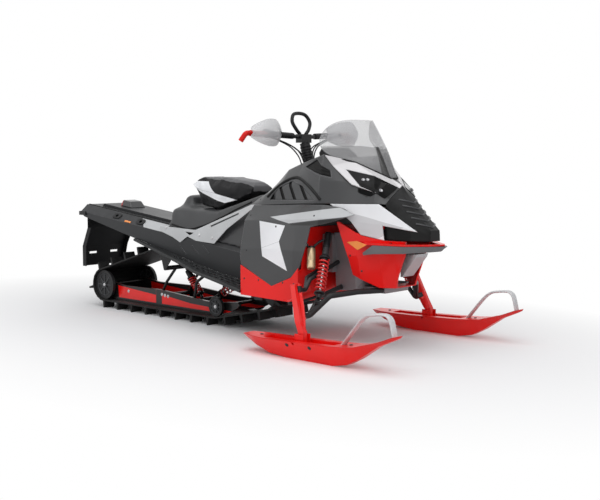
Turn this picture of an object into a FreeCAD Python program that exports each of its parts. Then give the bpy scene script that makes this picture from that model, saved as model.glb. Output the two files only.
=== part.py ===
import FreeCAD
import Part
import math
import os

# A long-track crossover snowmobile, in millimetres.
# +X points forward, +Y to the rider's left, +Z up. The origin is on the snow,
# on the middle plane, under the rear of the bodywork.

Vector = FreeCAD.Vector

# Fits
seam = 0.3
moving_gap = 5.0
bore_clearance = 0.4
overrun = 20.0

# Body reference sizes: outlines of the bodywork and chassis are shares of these
body_rear_x = 290.0
body_length = 1000.0
body_half_width = 400.0
body_height = 1000.0
panel_wall = 7.0

# Track
track_half_width = 203.0
belt_thickness = 9.0
lug_height = 46.0
lug_root = 20.0
lug_tip = 11.0
lug_pitch = 75.0
edge_lug_width = 82.0
inner_lug_width = 50.0
idler_x = -1232.0
idler_radius = 100.0
guide_x = -129.0
guide_radius = 62.0
sprocket_x = 290.0
sprocket_z = 235.0
sprocket_radius = 90.0
carrier_x = -500.0
carrier_z = 418.0
carrier_radius = 60.0

# Skid under the tunnel
wheel_width = 20.0
wheel_y = 178.0
wheel_hub_radius = 26.0
axle_radius = 10.0
rail_y = 140.0
rail_thickness = 16.0
rail_height = 110.0
rail_rear_x = -1266.0
rail_tip_x = 40.0
cross_tube_radius = 14.0
skid_arm_radius = 9.0
skid_arm_inset = 12.0
rear_arm_low_x = -720.0
rear_arm_top_x = -562.0
rear_arm_top_z = 318.0
front_arm_low_x = -395.0
front_arm_top_x = 40.0
front_arm_top_z = 342.0
cross_tube_z = 118.0
skid_shock_radius = 20.0
skid_spring_radius = 28.0
skid_shock_y = 45.0

# Tunnel and running boards
tunnel_half_width = 222.0
tunnel_wall = 4.0
tunnel_front_x = 300.0
tunnel_length = 1733.0
tunnel_tail_top_z = 690.0
tunnel_front_top_z = 486.0
tunnel_chamfer_width = 52.0
tunnel_chamfer_drop = 45.0
tunnel_tail_side = 12.0
plateau_half_width = 118.0
plateau_height = 20.0
board_thickness = 12.0
board_half_width = 392.0
board_rail_radius = 9.0
board_front_z = 276.0
board_rear_z = 489.0
board_length = 1140.0
bracket_thickness = 4.0
bumper_thickness = 10.0
bumper_height = 26.0
flap_wall = 5.0
flap_half_width = 184.0
flap_height = 295.0
flap_slot_length = 60.0
flap_slot_height = 14.0
flap_slot_y = 88.0
brace_thickness = 6.0
anchor_radius = 22.0
anchor_bore_radius = 12.0
anchor_stretch = 34.0
anchor_lip = 5.0
anchor_depth = 14.0
rib_height = 4.0
rib_width = 9.0
board_hole_length = 34.0
board_hole_width = 22.0
board_hole_gap = 16.0
board_border = 20.0

# Seat
seat_rear_x = -395.0
seat_length = 490.0
seat_half_width = 150.0
seat_low_z = 690.0
seat_height = 194.0

# Chassis and front suspension
engine_length = 270.0
engine_width = 400.0
engine_height = 290.0
engine_rear_x = 450.0
engine_low_z = 410.0
cradle_beam_width = 20.0
cradle_beam_height = 40.0
post_collar_wall = 12.0
post_collar_height = 40.0
kingpin_top = (818.0, 482.0, 352.0)
kingpin_low = (878.0, 512.0, 190.0)
low_ball_z = 212.0
high_ball_z = 338.0
ball_housing_radius = 17.0
ball_housing_height = 26.0
ball_pin_radius = 6.0
ball_approach = 50.0
lug_disc_height = 11.0
upright_offset = 33.0
upright_thickness = 18.0
upright_width = 38.0
steering_arm_length = 70.0
steering_arm_z = 292.0
rod_boss_radius = 11.0
rod_boss_height = 12.0
rod_pin_radius = 4.5
tie_rod_radius = 8.0
tie_rod_inner_y = 80.0
tie_rod_rise = 40.0
lower_arm_radius = 15.0
lower_arm_rear_radius = 13.0
upper_arm_radius = 11.0
upper_arm_rear_radius = 10.0
shock_body_radius = 19.0
shock_spring_radius = 24.0
shock_eye_radius = 11.0
reservoir_radius = 19.0

# Skis
ski_bolt_x = 905.0
ski_bolt_z = 88.0
ski_stance_half = 545.0
ski_length = 991.3
ski_rear_x = 520.0
ski_half_width = 78.0
ski_height = 190.0
ski_pocket_half = 38.0
ski_pocket_floor_z = 56.0
ski_bolt_radius = 7.0
ski_ear_thickness = 5.0
ski_ear_gap = 22.0
ski_ear_top_z = 128.0
spindle_foot_radius = 20.0
spindle_foot_half = 15.0
loop_width = 34.0
loop_thickness = 12.0

# Steering
post_low = (503.0, 0.0, 818.0)
post_high = (418.0, 0.0, 1105.0)
post_radius = 17.0
bar_radius = 11.0
bar_half_width = 405.0
bar_bend = 40.0
grip_radius = 16.5
grip_inner_y = 285.0
grip_hook_radius = 14.0
control_inner_y = 236.0
control_radius = 21.0
lever_radius = 5.0
guard_thickness = 5.0
guard_height = 152.0
ring_radius = 9.0
ring_width = 160.0
ring_height = 128.0


def vec(point):
    return Vector(point[0], point[1], point[2])


def polygon(points):
    corners = [vec(p) for p in points]
    return Part.makePolygon(corners + [corners[0]])


def face_of(points):
    return Part.Face(polygon(points))


def mirrored(shape):
    return shape.mirror(Vector(0, 0, 0), Vector(0, 1, 0))


def pair(shape):
    return [mirrored(shape), shape]


def fused(shapes):
    result = shapes[0]
    if len(shapes) > 1:
        result = result.fuse(shapes[1:])
    return result.removeSplitter()


def box(low, high):
    return Part.makeBox(high[0] - low[0], high[1] - low[1], high[2] - low[2], vec(low))


def side_plate(outline, y_low, y_high):
    """A prism whose outline lies in the X-Z plane."""
    return face_of([(x, y_low, z) for x, z in outline]).extrude(Vector(0, y_high - y_low, 0))


def loft(sections):
    return Part.makeLoft([polygon(s) for s in sections], True, True)


def cylinder(start, end, radius):
    axis = vec(end).sub(vec(start))
    return Part.makeCylinder(radius, axis.Length, vec(start), axis)


def cross_cylinder(x, half, z, radius):
    return cylinder((x, -half, z), (x, half, z), radius)


def between(start, end, share):
    return tuple(a + share * (b - a) for a, b in zip(start, end))


def bent_path(points, bend):
    """Straight runs joined by tangent arcs of one bend radius."""
    corners = [vec(p) for p in points]
    edges = []
    begin = corners[0]
    for before, corner, after in zip(corners, corners[1:], corners[2:]):
        inward = before.sub(corner).normalize()
        outward = after.sub(corner).normalize()
        half_turn = 0.5 * (math.pi - inward.getAngle(outward))
        setback = bend * math.tan(half_turn)
        arc_start = corner.add(inward * setback)
        arc_end = corner.add(outward * setback)
        middle = inward.add(outward).normalize()
        rise = bend / math.cos(half_turn) - bend
        edges.append(Part.LineSegment(begin, arc_start).toShape())
        edges.append(Part.Arc(arc_start, corner.add(middle * rise), arc_end).toShape())
        begin = arc_end
    edges.append(Part.LineSegment(begin, corners[-1]).toShape())
    return Part.Wire(edges)


def bent_tube(points, radius, bend):
    start = vec(points[0])
    ring = Part.Wire(Part.Circle(start, vec(points[1]).sub(start), radius).toShape())
    return bent_path(points, bend).makePipeShell([ring], True, False)


def body_x(share):
    return body_rear_x + share * body_length


def body_y(share):
    return share * body_half_width


def body_z(share):
    return share * body_height


def body_point(shares):
    return (body_x(shares[0]), body_y(shares[1]), body_z(shares[2]))


def body_outline(shares):
    return [(body_x(x), body_z(z)) for x, z in shares]


def full_section(x, half):
    """A closed section from the points of its left half, top to bottom."""
    right = [(x, -y, z) for y, z in half]
    left = [(x, y, z) for y, z in reversed(half) if y > 0]
    return right + left


def main_solid(shape):
    """The piece itself, without the slivers that a cut can leave along its edge."""
    return max(shape.Solids, key=lambda solid: solid.Volume)


nodes = {}


def keep(name, *shapes):
    nodes[name] = list(shapes)


# Track: one loop round the idlers and sprockets, with its lugs in the outline
ground_z = lug_height + belt_thickness


def loop_wheels():
    return [
        (idler_x, ground_z + idler_radius, idler_radius),
        (guide_x, ground_z + guide_radius, guide_radius),
        (sprocket_x, sprocket_z, sprocket_radius),
        (carrier_x, carrier_z, carrier_radius),
    ]


def loop_parts():
    """Runs and arcs of the belt's inner face, counter-clockwise seen from -Y."""
    wheels = loop_wheels()
    tangents = []
    for (x0, z0, r0), (x1, z1, r1) in zip(wheels, wheels[1:] + wheels[:1]):
        length = math.hypot(x1 - x0, z1 - z0)
        normal = math.atan2(z1 - z0, x1 - x0) - math.pi / 2 + math.asin((r0 - r1) / length)
        side = (math.cos(normal), math.sin(normal))
        start = (x0 + r0 * side[0], z0 + r0 * side[1])
        end = (x1 + r1 * side[0], z1 + r1 * side[1])
        tangents.append((start, end, normal))
    parts = []
    for number, wheel_place in enumerate(wheels):
        start, end, normal = tangents[number]
        arrive = tangents[number - 1][2]
        parts.append(("arc", wheel_place, arrive, (normal - arrive) % (2 * math.pi)))
        parts.append(("run", start, end, normal))
    return parts


def part_length(part):
    if part[0] == "arc":
        return part[1][2] * part[3]
    return math.hypot(part[2][0] - part[1][0], part[2][1] - part[1][1])


def loop_place(parts, distance):
    """Point on the belt's inner face, and its outward normal angle."""
    for part in parts:
        length = part_length(part)
        if distance <= length:
            if part[0] == "arc":
                x, z, radius = part[1]
                angle = part[2] + distance / radius
                return x + radius * math.cos(angle), z + radius * math.sin(angle), angle
            share = distance / length
            x = part[1][0] + share * (part[2][0] - part[1][0])
            z = part[1][1] + share * (part[2][1] - part[1][1])
            return x, z, part[3]
        distance -= length
    return loop_place(parts, 0)


belt_path = loop_parts()
belt_length = sum(part_length(p) for p in belt_path)
lug_rows = 2 * round(belt_length / lug_pitch / 2)
row_pitch = belt_length / lug_rows


def raised(place, along, height):
    x, z, normal = place
    tangent = normal + math.pi / 2
    return (x + height * math.cos(normal) + along * math.cos(tangent),
            z + height * math.sin(normal) + along * math.sin(tangent))


def track_band(first_row, y_low, y_high):
    outline = []
    inside = []
    for row in range(lug_rows):
        place = loop_place(belt_path, row * row_pitch)
        middle = loop_place(belt_path, (row + 0.5) * row_pitch)
        if row % 2 == first_row:
            outline.append(raised(place, -lug_root / 2, belt_thickness))
            outline.append(raised(place, -lug_tip / 2, belt_thickness + lug_height))
            outline.append(raised(place, lug_tip / 2, belt_thickness + lug_height))
            outline.append(raised(place, lug_root / 2, belt_thickness))
        else:
            outline.append(raised(place, 0, belt_thickness))
        outline.append(raised(middle, 0, belt_thickness))
        inside.append(raised(place, 0, 0))
        inside.append(raised(middle, 0, 0))
    outer = face_of([(x, y_low, z) for x, z in outline])
    inner = face_of([(x, y_low, z) for x, z in inside])
    return outer.cut(inner).extrude(Vector(0, y_high - y_low, 0))


def make_track():
    edge = track_half_width - edge_lug_width
    inner = edge - inner_lug_width
    limits = [-track_half_width, -edge, -inner, inner, edge, track_half_width]
    bands = []
    for number, (low, high) in enumerate(zip(limits, limits[1:])):
        bands.append(track_band(number % 2, low, high))
    return fused(bands)


keep("track", make_track())


# Wheels of the track's skid
def running_radius(radius):
    """The belt lies in flats round a wheel, so the wheel stays inside their chords."""
    return radius * math.cos(0.25 * row_pitch / radius) - seam


def wheel(x, z, radius, y_middle):
    """A rubber-tyred idler wheel: rim, thin web and hub, on an axle along Y."""
    half = wheel_width / 2
    web = 0.25 * wheel_width
    tyre = running_radius(radius)
    rim = 0.78 * radius
    bore = axle_radius + bore_clearance
    profile = [
        (bore, -half), (wheel_hub_radius, -half), (wheel_hub_radius, -web), (rim, -web), (rim, -half),
        (tyre, -half), (tyre, half), (rim, half), (rim, web), (wheel_hub_radius, web),
        (wheel_hub_radius, half), (bore, half),
    ]
    face = face_of([(x + r, y_middle + y, z) for r, y in profile])
    return face.revolve(Vector(x, y_middle, z), Vector(0, 1, 0), 360)


idler_z = ground_z + idler_radius
guide_z = ground_z + guide_radius
keep("rear_idlers", *[wheel(idler_x, idler_z, idler_radius, y) for y in (-wheel_y, wheel_y)])
keep("guide_wheels", *[wheel(guide_x, guide_z, guide_radius, y) for y in (-wheel_y, wheel_y)])
keep("carrier_wheels", *[wheel(carrier_x, carrier_z, carrier_radius, y) for y in (-wheel_y, wheel_y)])


# Slide rails: two red side plates on the belt's inner face, joined by axles
rail_outline_shares = [
    (0.000, 0.55), (0.020, 0.20), (0.103, 0.00), (0.825, 0.00), (0.935, 0.30), (0.985, 0.57), (1.000, 0.75),
    (0.985, 0.90), (0.900, 0.80), (0.840, 0.72), (0.779, 0.725), (0.620, 0.85), (0.436, 1.00), (0.165, 0.95),
    (0.080, 1.08), (0.000, 1.08),
]
rail_low_z = ground_z + seam


def make_rails():
    length = rail_tip_x - rail_rear_x
    outline = [(rail_rear_x + x * length, rail_low_z + z * rail_height) for x, z in rail_outline_shares]
    shapes = []
    for side in (-1, 1):
        middle = side * rail_y
        shapes.append(side_plate(outline, middle - rail_thickness / 2, middle + rail_thickness / 2))
    reach = wheel_y + wheel_width / 2
    shapes.append(cross_cylinder(idler_x, reach, idler_z, axle_radius))
    shapes.append(cross_cylinder(guide_x, reach, guide_z, axle_radius))
    return fused(shapes)


keep("slide_rails", make_rails())


# Skid arms: bent tubes from the rails up to the tunnel, with their cross tubes
front_knee_shares = [(0.055, 0.54), (0.22, 0.74)]


def arm_group(low, high, knees, top_reach):
    rail_reach = rail_y - rail_thickness / 2 - seam
    arm_y = rail_reach - skid_arm_inset
    shapes = [cross_cylinder(low[0], rail_reach, low[1], cross_tube_radius),
              cross_cylinder(high[0], top_reach, high[1], cross_tube_radius)]
    for side in (-1, 1):
        route = [low] + knees + [high]
        shapes.append(bent_tube([(x, side * arm_y, z) for x, z in route], skid_arm_radius, 3 * skid_arm_radius))
    return fused(shapes)


tunnel_inner_half = tunnel_half_width - tunnel_wall
bracket_inner_y = tunnel_inner_half - seam - bracket_thickness


def make_skid_arms():
    front_low = (front_arm_low_x, cross_tube_z)
    front_high = (front_arm_top_x, front_arm_top_z)
    run = front_high[0] - front_low[0]
    rise = front_high[1] - front_low[1]
    knees = [(front_low[0] + x * run, front_low[1] + z * rise) for x, z in front_knee_shares]
    rear_low = (rear_arm_low_x, cross_tube_z)
    rear_high = (rear_arm_top_x, rear_arm_top_z)
    rear_knee = [between(rear_low, rear_high, 0.45)]
    rear_knee = [(rear_knee[0][0] - skid_arm_radius, rear_knee[0][1] + skid_arm_radius)]
    return [arm_group(rear_low, rear_high, rear_knee, bracket_inner_y - seam),
            arm_group(front_low, front_high, knees, tunnel_inner_half - seam)]


keep("skid_arms", *make_skid_arms())


def skid_shock(start, end, side):
    """A coil-over between two cross tubes, its ends just clear of them."""
    y = side * skid_shock_y
    low = (start[0], y, start[1])
    high = (end[0], y, end[1])
    length = vec(high).sub(vec(low)).Length
    gap = (cross_tube_radius + seam) / length
    shapes = [
        cylinder(between(low, high, gap), between(low, high, 1 - gap), 0.5 * skid_shock_radius),
        cylinder(between(low, high, 0.18), between(low, high, 0.66), skid_spring_radius),
        cylinder(between(low, high, 0.60), between(low, high, 0.86), skid_shock_radius),
    ]
    return fused(shapes)


keep("skid_shocks",
     skid_shock((front_arm_low_x, cross_tube_z), (front_arm_top_x, front_arm_top_z), 1),
     skid_shock((front_arm_low_x, cross_tube_z), (rear_arm_top_x, rear_arm_top_z), -1))


def make_drive_axle():
    shapes = [cross_cylinder(sprocket_x, tunnel_inner_half - seam, sprocket_z, cross_tube_radius)]
    disc = wheel_width / 2
    for y in (-rail_y + 2 * wheel_width, rail_y - 2 * wheel_width):
        shapes.append(cylinder((sprocket_x, y - disc, sprocket_z), (sprocket_x, y + disc, sprocket_z),
                               running_radius(sprocket_radius)))
    return fused(shapes)


keep("drive_axle", make_drive_axle())


# Tunnel: an open-bottomed aluminium channel over the track, with chamfered shoulders
tunnel_tail_x = tunnel_front_x - tunnel_length
board_rear_x = tunnel_front_x - board_length
board_edge_shares = [(0.0, 0.0, 0.0), (0.17, 0.1, 0.16), (0.37, 0.25, 0.32), (0.60, 0.55, 0.58), (1.0, 1.0, 1.0)]


def board_points():
    """Outer edge of the running board, front to rear: x, half width, z."""
    points = []
    for along, across, up in board_edge_shares:
        points.append((tunnel_front_x - along * board_length,
                       board_half_width + across * (tunnel_half_width - board_half_width),
                       board_front_z + up * (board_rear_z - board_front_z)))
    return points


def tunnel_top(x):
    share = (tunnel_front_x - x) / tunnel_length
    return tunnel_front_top_z + share * (tunnel_tail_top_z - tunnel_front_top_z)


def tunnel_shoulder(x):
    return tunnel_top(x) - tunnel_chamfer_drop


def tunnel_section(x, inset):
    slant = math.hypot(tunnel_chamfer_width, tunnel_chamfer_drop)
    crown = tunnel_half_width - tunnel_chamfer_width
    crown -= inset * (slant - tunnel_chamfer_width) / tunnel_chamfer_drop
    shoulder = tunnel_shoulder(x) - inset * (slant - tunnel_chamfer_drop) / tunnel_chamfer_width
    half = tunnel_half_width - inset
    return full_section(x, [(crown, tunnel_top(x) - inset), (half, shoulder), (half, 0.0)])


def tunnel_side_outline():
    board = board_points()
    axle_low = sprocket_z - cross_tube_radius - overrun
    front = tunnel_front_x
    notch = front - 3 * overrun
    outline = [(front, axle_low), (notch, axle_low), (notch - 3 * overrun, board[1][2])]
    outline += [(x, z) for x, y, z in board[1:]]
    tail_low = tunnel_shoulder(tunnel_tail_x) - tunnel_tail_side
    outline += [(tunnel_tail_x + 3 * tunnel_tail_side, tail_low - 2 * tunnel_tail_side), (tunnel_tail_x, tail_low)]
    top = tunnel_top(tunnel_tail_x) + overrun
    return outline + [(tunnel_tail_x, top), (front, top)]


plateau_line_shares = [(0.495, -1.0), (0.515, 1.0), (0.930, 1.0), (0.945, -1.0)]


def make_plateau():
    line = []
    for along, up in plateau_line_shares:
        x = tunnel_front_x - along * tunnel_length
        line.append((x, tunnel_top(x) + (plateau_height if up > 0 else -tunnel_wall)))
    return side_plate(line, -plateau_half_width, plateau_half_width)


anchor_place_shares = (0.2135, 0.35545)
anchor_places = [tunnel_tail_x + share * tunnel_length for share in anchor_place_shares]
# Ends of each rib: along the tunnel from its front, and up its side as a share of the shoulder's height
side_rib_shares = [((0.407, 0.891), (0.375, 0.815)), ((0.343, 0.928), (0.312, 0.856)), ((0.286, 0.961), (0.257, 0.896))]


def anchor_frame(shape, x):
    """Puts a shape made about +Z at the origin square on the tunnel's left shoulder plate at x."""
    fall = (tunnel_tail_top_z - tunnel_front_top_z) / tunnel_length
    slope = tunnel_chamfer_drop / tunnel_chamfer_width
    normal = Vector(fall, slope, 1)
    turned = shape.copy()
    turned.Placement = FreeCAD.Placement(
        Vector(x, tunnel_half_width - tunnel_chamfer_width / 2, tunnel_top(x) - tunnel_chamfer_drop / 2),
        FreeCAD.Rotation(Vector(1, 0, 0), Vector(0, 0, 0), normal, "ZXY"))
    return turned


def oval(radius, low, high):
    half = anchor_stretch / 2
    bar = box((-half, -radius, low), (half, radius, high))
    return fused([bar] + [cylinder((x, 0, low), (x, 0, high), radius) for x in (-half, half)])


def make_anchor(x):
    """A cup let into the shoulder plate, which a rack or bag locks into."""
    cup = fused([oval(anchor_radius, seam, anchor_lip),
                 oval(anchor_radius - anchor_lip, -anchor_depth, anchor_lip / 2)])
    cup = cup.cut(cylinder((0, 0, anchor_lip - anchor_depth), (0, 0, overrun), anchor_bore_radius))
    return anchor_frame(cup, x)


def make_ribs():
    """Ribs stamped outwards in the tunnel's side."""
    ribs = []
    for rib in side_rib_shares:
        low, high = [(tunnel_front_x - along * tunnel_length, tunnel_half_width - tunnel_wall / 2,
                      up * tunnel_shoulder(tunnel_front_x - along * tunnel_length)) for along, up in rib]
        across = rib_width / 2
        foot = face_of([(low[0] - across, low[1], low[2]), (low[0] + across, low[1], low[2] + across),
                        (high[0] + across, high[1], high[2]), (high[0] - across, high[1], high[2] - across)])
        ribs.append(foot.extrude(Vector(0, rib_height, 0)))
    return ribs


def make_tunnel():
    outer = loft([tunnel_section(tunnel_tail_x, 0.0), tunnel_section(tunnel_front_x, 0.0)])
    outer = outer.common(side_plate(tunnel_side_outline(), -board_half_width, board_half_width))
    inner = loft([tunnel_section(tunnel_tail_x - overrun, tunnel_wall),
                  tunnel_section(tunnel_front_x + overrun, tunnel_wall)])
    shell = fused([outer.cut(inner), make_plateau()] + [shape for rib in make_ribs() for shape in pair(rib)])
    for x in anchor_places:
        for hole in pair(anchor_frame(oval(anchor_radius - anchor_lip + seam, -overrun, anchor_lip), x)):
            shell = shell.cut(hole)
    return shell


keep("tunnel", make_tunnel())
keep("cargo_anchors", *[shape for x in anchor_places for shape in pair(make_anchor(x))])


# Drop brackets: plates inside the tunnel that carry the rear arm and the carrier wheels
bracket_outline_shares = [(-0.24, 0.15), (-0.10, -0.12), (0.14, -0.12), (1.0, 0.55), (1.9, 0.75), (1.9, 1.5), (-0.9, 1.5)]


def make_brackets():
    run = carrier_x - rear_arm_top_x
    rise = carrier_z - rear_arm_top_z
    outline = [(rear_arm_top_x + x * run, rear_arm_top_z + z * rise) for x, z in bracket_outline_shares]
    plates = []
    for side in (-1, 1):
        inner = side * bracket_inner_y
        outer = side * (bracket_inner_y + bracket_thickness)
        plates.append(side_plate(outline, min(inner, outer), max(inner, outer)))
    shaft = cross_cylinder(carrier_x, bracket_inner_y + bracket_thickness / 2, carrier_z, axle_radius)
    return fused(plates + [shaft])


keep("skid_brackets", make_brackets())


# Running boards
def make_board():
    points = [(x, y, z) for x, y, z in board_points()]
    first = points[0]
    points[0] = (first[0] - seam, first[1], first[2])
    root = tunnel_half_width + seam
    last = points[-1]
    points[-1] = (last[0], root + board_rail_radius, last[2])
    pieces = []
    for (x0, y0, z0), (x1, y1, z1) in zip(points, points[1:]):
        top = face_of([(x0, root, z0), (x0, y0, z0), (x1, y1, z1), (x1, root, z1)])
        pieces.append(top.extrude(Vector(0, 0, -board_thickness)))
    drop = board_thickness / 2
    rail = bent_tube([(x, y, z - drop) for x, y, z in points], board_rail_radius, 6 * board_rail_radius)
    low = (tunnel_tail_x, root, 0.0)
    high = (tunnel_front_x - seam, body_half_width + overrun, body_height)
    plate = fused(pieces + [rail]).common(box(low, high))
    return plate.cut(Part.makeCompound(board_holes(root)))


def board_edge(x):
    points = board_points()
    for (x0, y0, z0), (x1, y1, z1) in zip(points, points[1:]):
        if x1 <= x <= x0:
            return between((y0, z0), (y1, z1), (x0 - x) / (x0 - x1))
    return (tunnel_half_width, board_rear_z)


def board_holes(root):
    """Rows of holes that let snow through, wherever the board is wide enough."""
    holes = []
    x = tunnel_front_x - 2 * board_border - board_hole_length
    while x > board_rear_x:
        y = root + board_border
        edge, z = board_edge(x)
        while y + board_hole_width < edge - board_border:
            holes.append(box((x, y, z - 3 * board_thickness), (x + board_hole_length, y + board_hole_width, z + 3 * board_thickness)))
            y += board_hole_width + board_hole_gap
        x -= board_hole_length + board_hole_gap
    return holes


board = make_board()
keep("running_boards", *pair(board))


# Bumper strip wrapped round the tunnel's tail
def make_rear_bumper():
    half = tunnel_half_width + seam
    tail = tunnel_tail_x - seam
    top = tunnel_shoulder(tunnel_tail_x) + seam
    low = top - bumper_height
    reach = 6 * bumper_thickness
    outer = box((tail - bumper_thickness, -half - bumper_thickness, low), (tail + reach, half + bumper_thickness, top))
    return outer.cut(box((tail, -half, low - overrun), (tail + reach + overrun, half, top + overrun)))


keep("rear_bumper", make_rear_bumper())


# Snow flap: closes the tunnel's tail and hangs below it, with folded sides
flap_profile_shares = [(0.00, 0.00), (0.00, 0.34), (-0.96, 0.66), (-1.26, 1.00)]
flap_width_shares = [1.0, 1.0, 0.97, 0.89]


def make_snow_flap():
    crown = tunnel_half_width - tunnel_chamfer_width
    slope = tunnel_chamfer_drop / tunnel_chamfer_width
    slant_wall = tunnel_wall * math.hypot(1, slope)
    top = tunnel_top(tunnel_tail_x + 4 * flap_wall) - slope * (flap_half_width - crown) - slant_wall - seam
    bend = flap_height / 4
    start = tunnel_tail_x + 3 * flap_wall
    profile = [(start + x * bend, top - z * (flap_height + 3 * flap_slot_height + bend)) for x, z in flap_profile_shares]
    widths = [share * flap_half_width for share in flap_width_shares]
    pieces = []
    for (x0, z0), (x1, z1), w0, w1 in zip(profile, profile[1:], widths, widths[1:]):
        sheet = face_of([(x0, -w0, z0), (x0, w0, z0), (x1, w1, z1), (x1, -w1, z1)])
        pieces.append(sheet.extrude(Vector(flap_wall, 0, 0)))
        if x0 != x1:
            for side in (-1, 1):
                fold = 8 * flap_wall
                edge = face_of([(x0, side * w0, z0), (x1, side * w1, z1), (x1 + fold, side * w1, z1),
                                (x0 + fold, side * w0, z0)])
                pieces.append(edge.extrude(Vector(0, -side * flap_wall, 0)))
    flap = fused(pieces)
    slot_z = profile[2][1] - 4 * flap_slot_height
    for y in (-flap_slot_y, flap_slot_y):
        low = (profile[3][0] - overrun, y - flap_slot_length / 2, slot_z)
        flap = flap.cut(box(low, (profile[0][0] + overrun, low[1] + flap_slot_length, slot_z + flap_slot_height)))
    return flap


keep("snow_flap", make_snow_flap())


# Tail lamp on the plateau
lamp_base_shares = (0.802, 0.870)
lamp_top_shares = (0.820, 0.862)
lamp_half_shares = (0.53, 0.42)
lamp_height = 40.0


def make_tail_light():
    rings = []
    for xs, half_share, lift in ((lamp_base_shares, lamp_half_shares[0], seam),
                                 (lamp_top_shares, lamp_half_shares[1], lamp_height)):
        half = half_share * plateau_half_width
        ring = []
        for share, side in ((xs[0], -1), (xs[0], 1), (xs[1], 1), (xs[1], -1)):
            x = tunnel_front_x - share * tunnel_length
            ring.append((x, side * half, tunnel_top(x) + plateau_height + lift))
        rings.append(ring)
    return loft(rings)


keep("tail_light", make_tail_light())


# Silver side braces from the tunnel up to the dash
brace_outline_shares = [
    (-0.875, 0.583), (-0.545, 0.573), (-0.085, 0.734), (0.008, 0.768), (0.008, 0.738), (-0.078, 0.706),
    (-0.270, 0.592), (-0.382, 0.500), (-0.540, 0.508), (-0.620, 0.530), (-0.687, 0.490), (-0.760, 0.520),
    (-0.880, 0.553),
]
brace_slot_shares = [(-0.410, 0.606), (-0.170, 0.690), (-0.168, 0.682), (-0.408, 0.596)]
brace_window_shares = [(-0.640, 0.558), (-0.560, 0.556), (-0.600, 0.538)]


def make_brace():
    low = tunnel_half_width + seam
    high = low + brace_thickness
    plate = side_plate(body_outline(brace_outline_shares), low, high)
    for shares in (brace_slot_shares, brace_window_shares):
        plate = plate.cut(side_plate(body_outline(shares), low - overrun, high + overrun))
    return plate


keep("side_braces", *pair(make_brace()))


# Seat and the console that carries it
seat_sections_shares = [
    (0.00, 0.40, 0.787, 0.630, 0.940), (0.12, 0.733, 0.840, 0.113, 1.000), (0.50, 1.000, 0.880, 0.000, 1.000),
    (0.80, 0.900, 0.720, 0.320, 0.918), (1.00, 0.600, 0.533, 0.567, 0.825),
]


def make_seat():
    sections = []
    for along, low_half, top_half, low, high in seat_sections_shares:
        x = seat_rear_x + along * seat_length
        half = [
            ((top_half - 0.13) * seat_half_width, seat_low_z + high * seat_height),
            ((top_half + 0.09) * seat_half_width, seat_low_z + (0.4 * low + 0.6 * high) * seat_height),
            (low_half * seat_half_width, seat_low_z + low * seat_height),
        ]
        sections.append(full_section(x, half))
    return loft(sections)


seat = make_seat()
keep("seat", seat)

# Console: x share of the body, half width in shares of the tunnel's, top in shares of the seat above its underside
console_sections_shares = [
    (-0.830, 0.856, 0.072), (-0.660, 0.721, 0.052), (-0.400, 0.742, 0.036), (-0.050, 0.766, 0.541),
    (0.000, 0.775, 0.464),
]
console_half_share = 0.9234
console_hump_shares = [(-0.815, 0.062), (-0.790, 0.433), (-0.715, 0.485), (-0.700, 0.052)]
console_hump_half_share = 0.486


def console_z(share):
    return seat_low_z + share * seat_height


def make_seat_base():
    sections = []
    crown = tunnel_half_width - tunnel_chamfer_width
    wide = console_half_share * tunnel_half_width
    slope = tunnel_chamfer_drop / tunnel_chamfer_width
    for x_share, half_share, z_share in console_sections_shares:
        x = body_x(x_share) - seam
        floor = tunnel_top(x) + seam
        half = [(half_share * tunnel_half_width, console_z(z_share)), (wide, floor - slope * (wide - crown)), (crown, floor)]
        sections.append(full_section(x, half))
    hump_half = console_hump_half_share * tunnel_half_width
    hump = side_plate([(body_x(x), console_z(z)) for x, z in console_hump_shares], -hump_half, hump_half)
    base = fused([loft(sections), hump])
    return base.cut(seat).cut(seat.translated(Vector(0, 0, -seam)))


keep("seat_base", make_seat_base())


# Bodywork tables: each row is a section from the rear forward, in shares of the body
# Hood: x, top z, shoulder y and z, middle y and z, waist y and z
hood_sections_shares = [
    (0.00, 0.785, 0.325, 0.815, 0.575, 0.780, 0.735, 0.745),
    (0.08, 0.850, 0.450, 0.850, 0.660, 0.800, 0.745, 0.747),
    (0.20, 0.925, 0.500, 0.938, 0.690, 0.840, 0.757, 0.752),
    (0.31, 0.965, 0.512, 0.976, 0.700, 0.862, 0.762, 0.759),
    (0.50, 1.005, 0.645, 1.020, 0.725, 0.890, 0.750, 0.766),
    (0.64, 0.975, 0.335, 0.972, 0.500, 0.880, 0.600, 0.768),
    (0.77, 0.892, 0.100, 0.886, 0.400, 0.826, 0.445, 0.768),
    (0.82, 0.860, 0.050, 0.850, 0.280, 0.792, 0.360, 0.766),
]
# Nose: x, top z, edge y and z, middle y and z, side y and z, low y and z
nose_sections_shares = [
    (0.820, 0.858, 0.050, 0.848, 0.278, 0.790, 0.358, 0.765, 0.380, 0.590),
    (0.875, 0.792, 0.100, 0.790, 0.200, 0.752, 0.315, 0.706, 0.350, 0.585),
    (0.950, 0.710, 0.100, 0.708, 0.160, 0.690, 0.235, 0.650, 0.270, 0.582),
    (1.028, 0.636, 0.095, 0.634, 0.100, 0.628, 0.105, 0.610, 0.110, 0.580),
]
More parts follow.
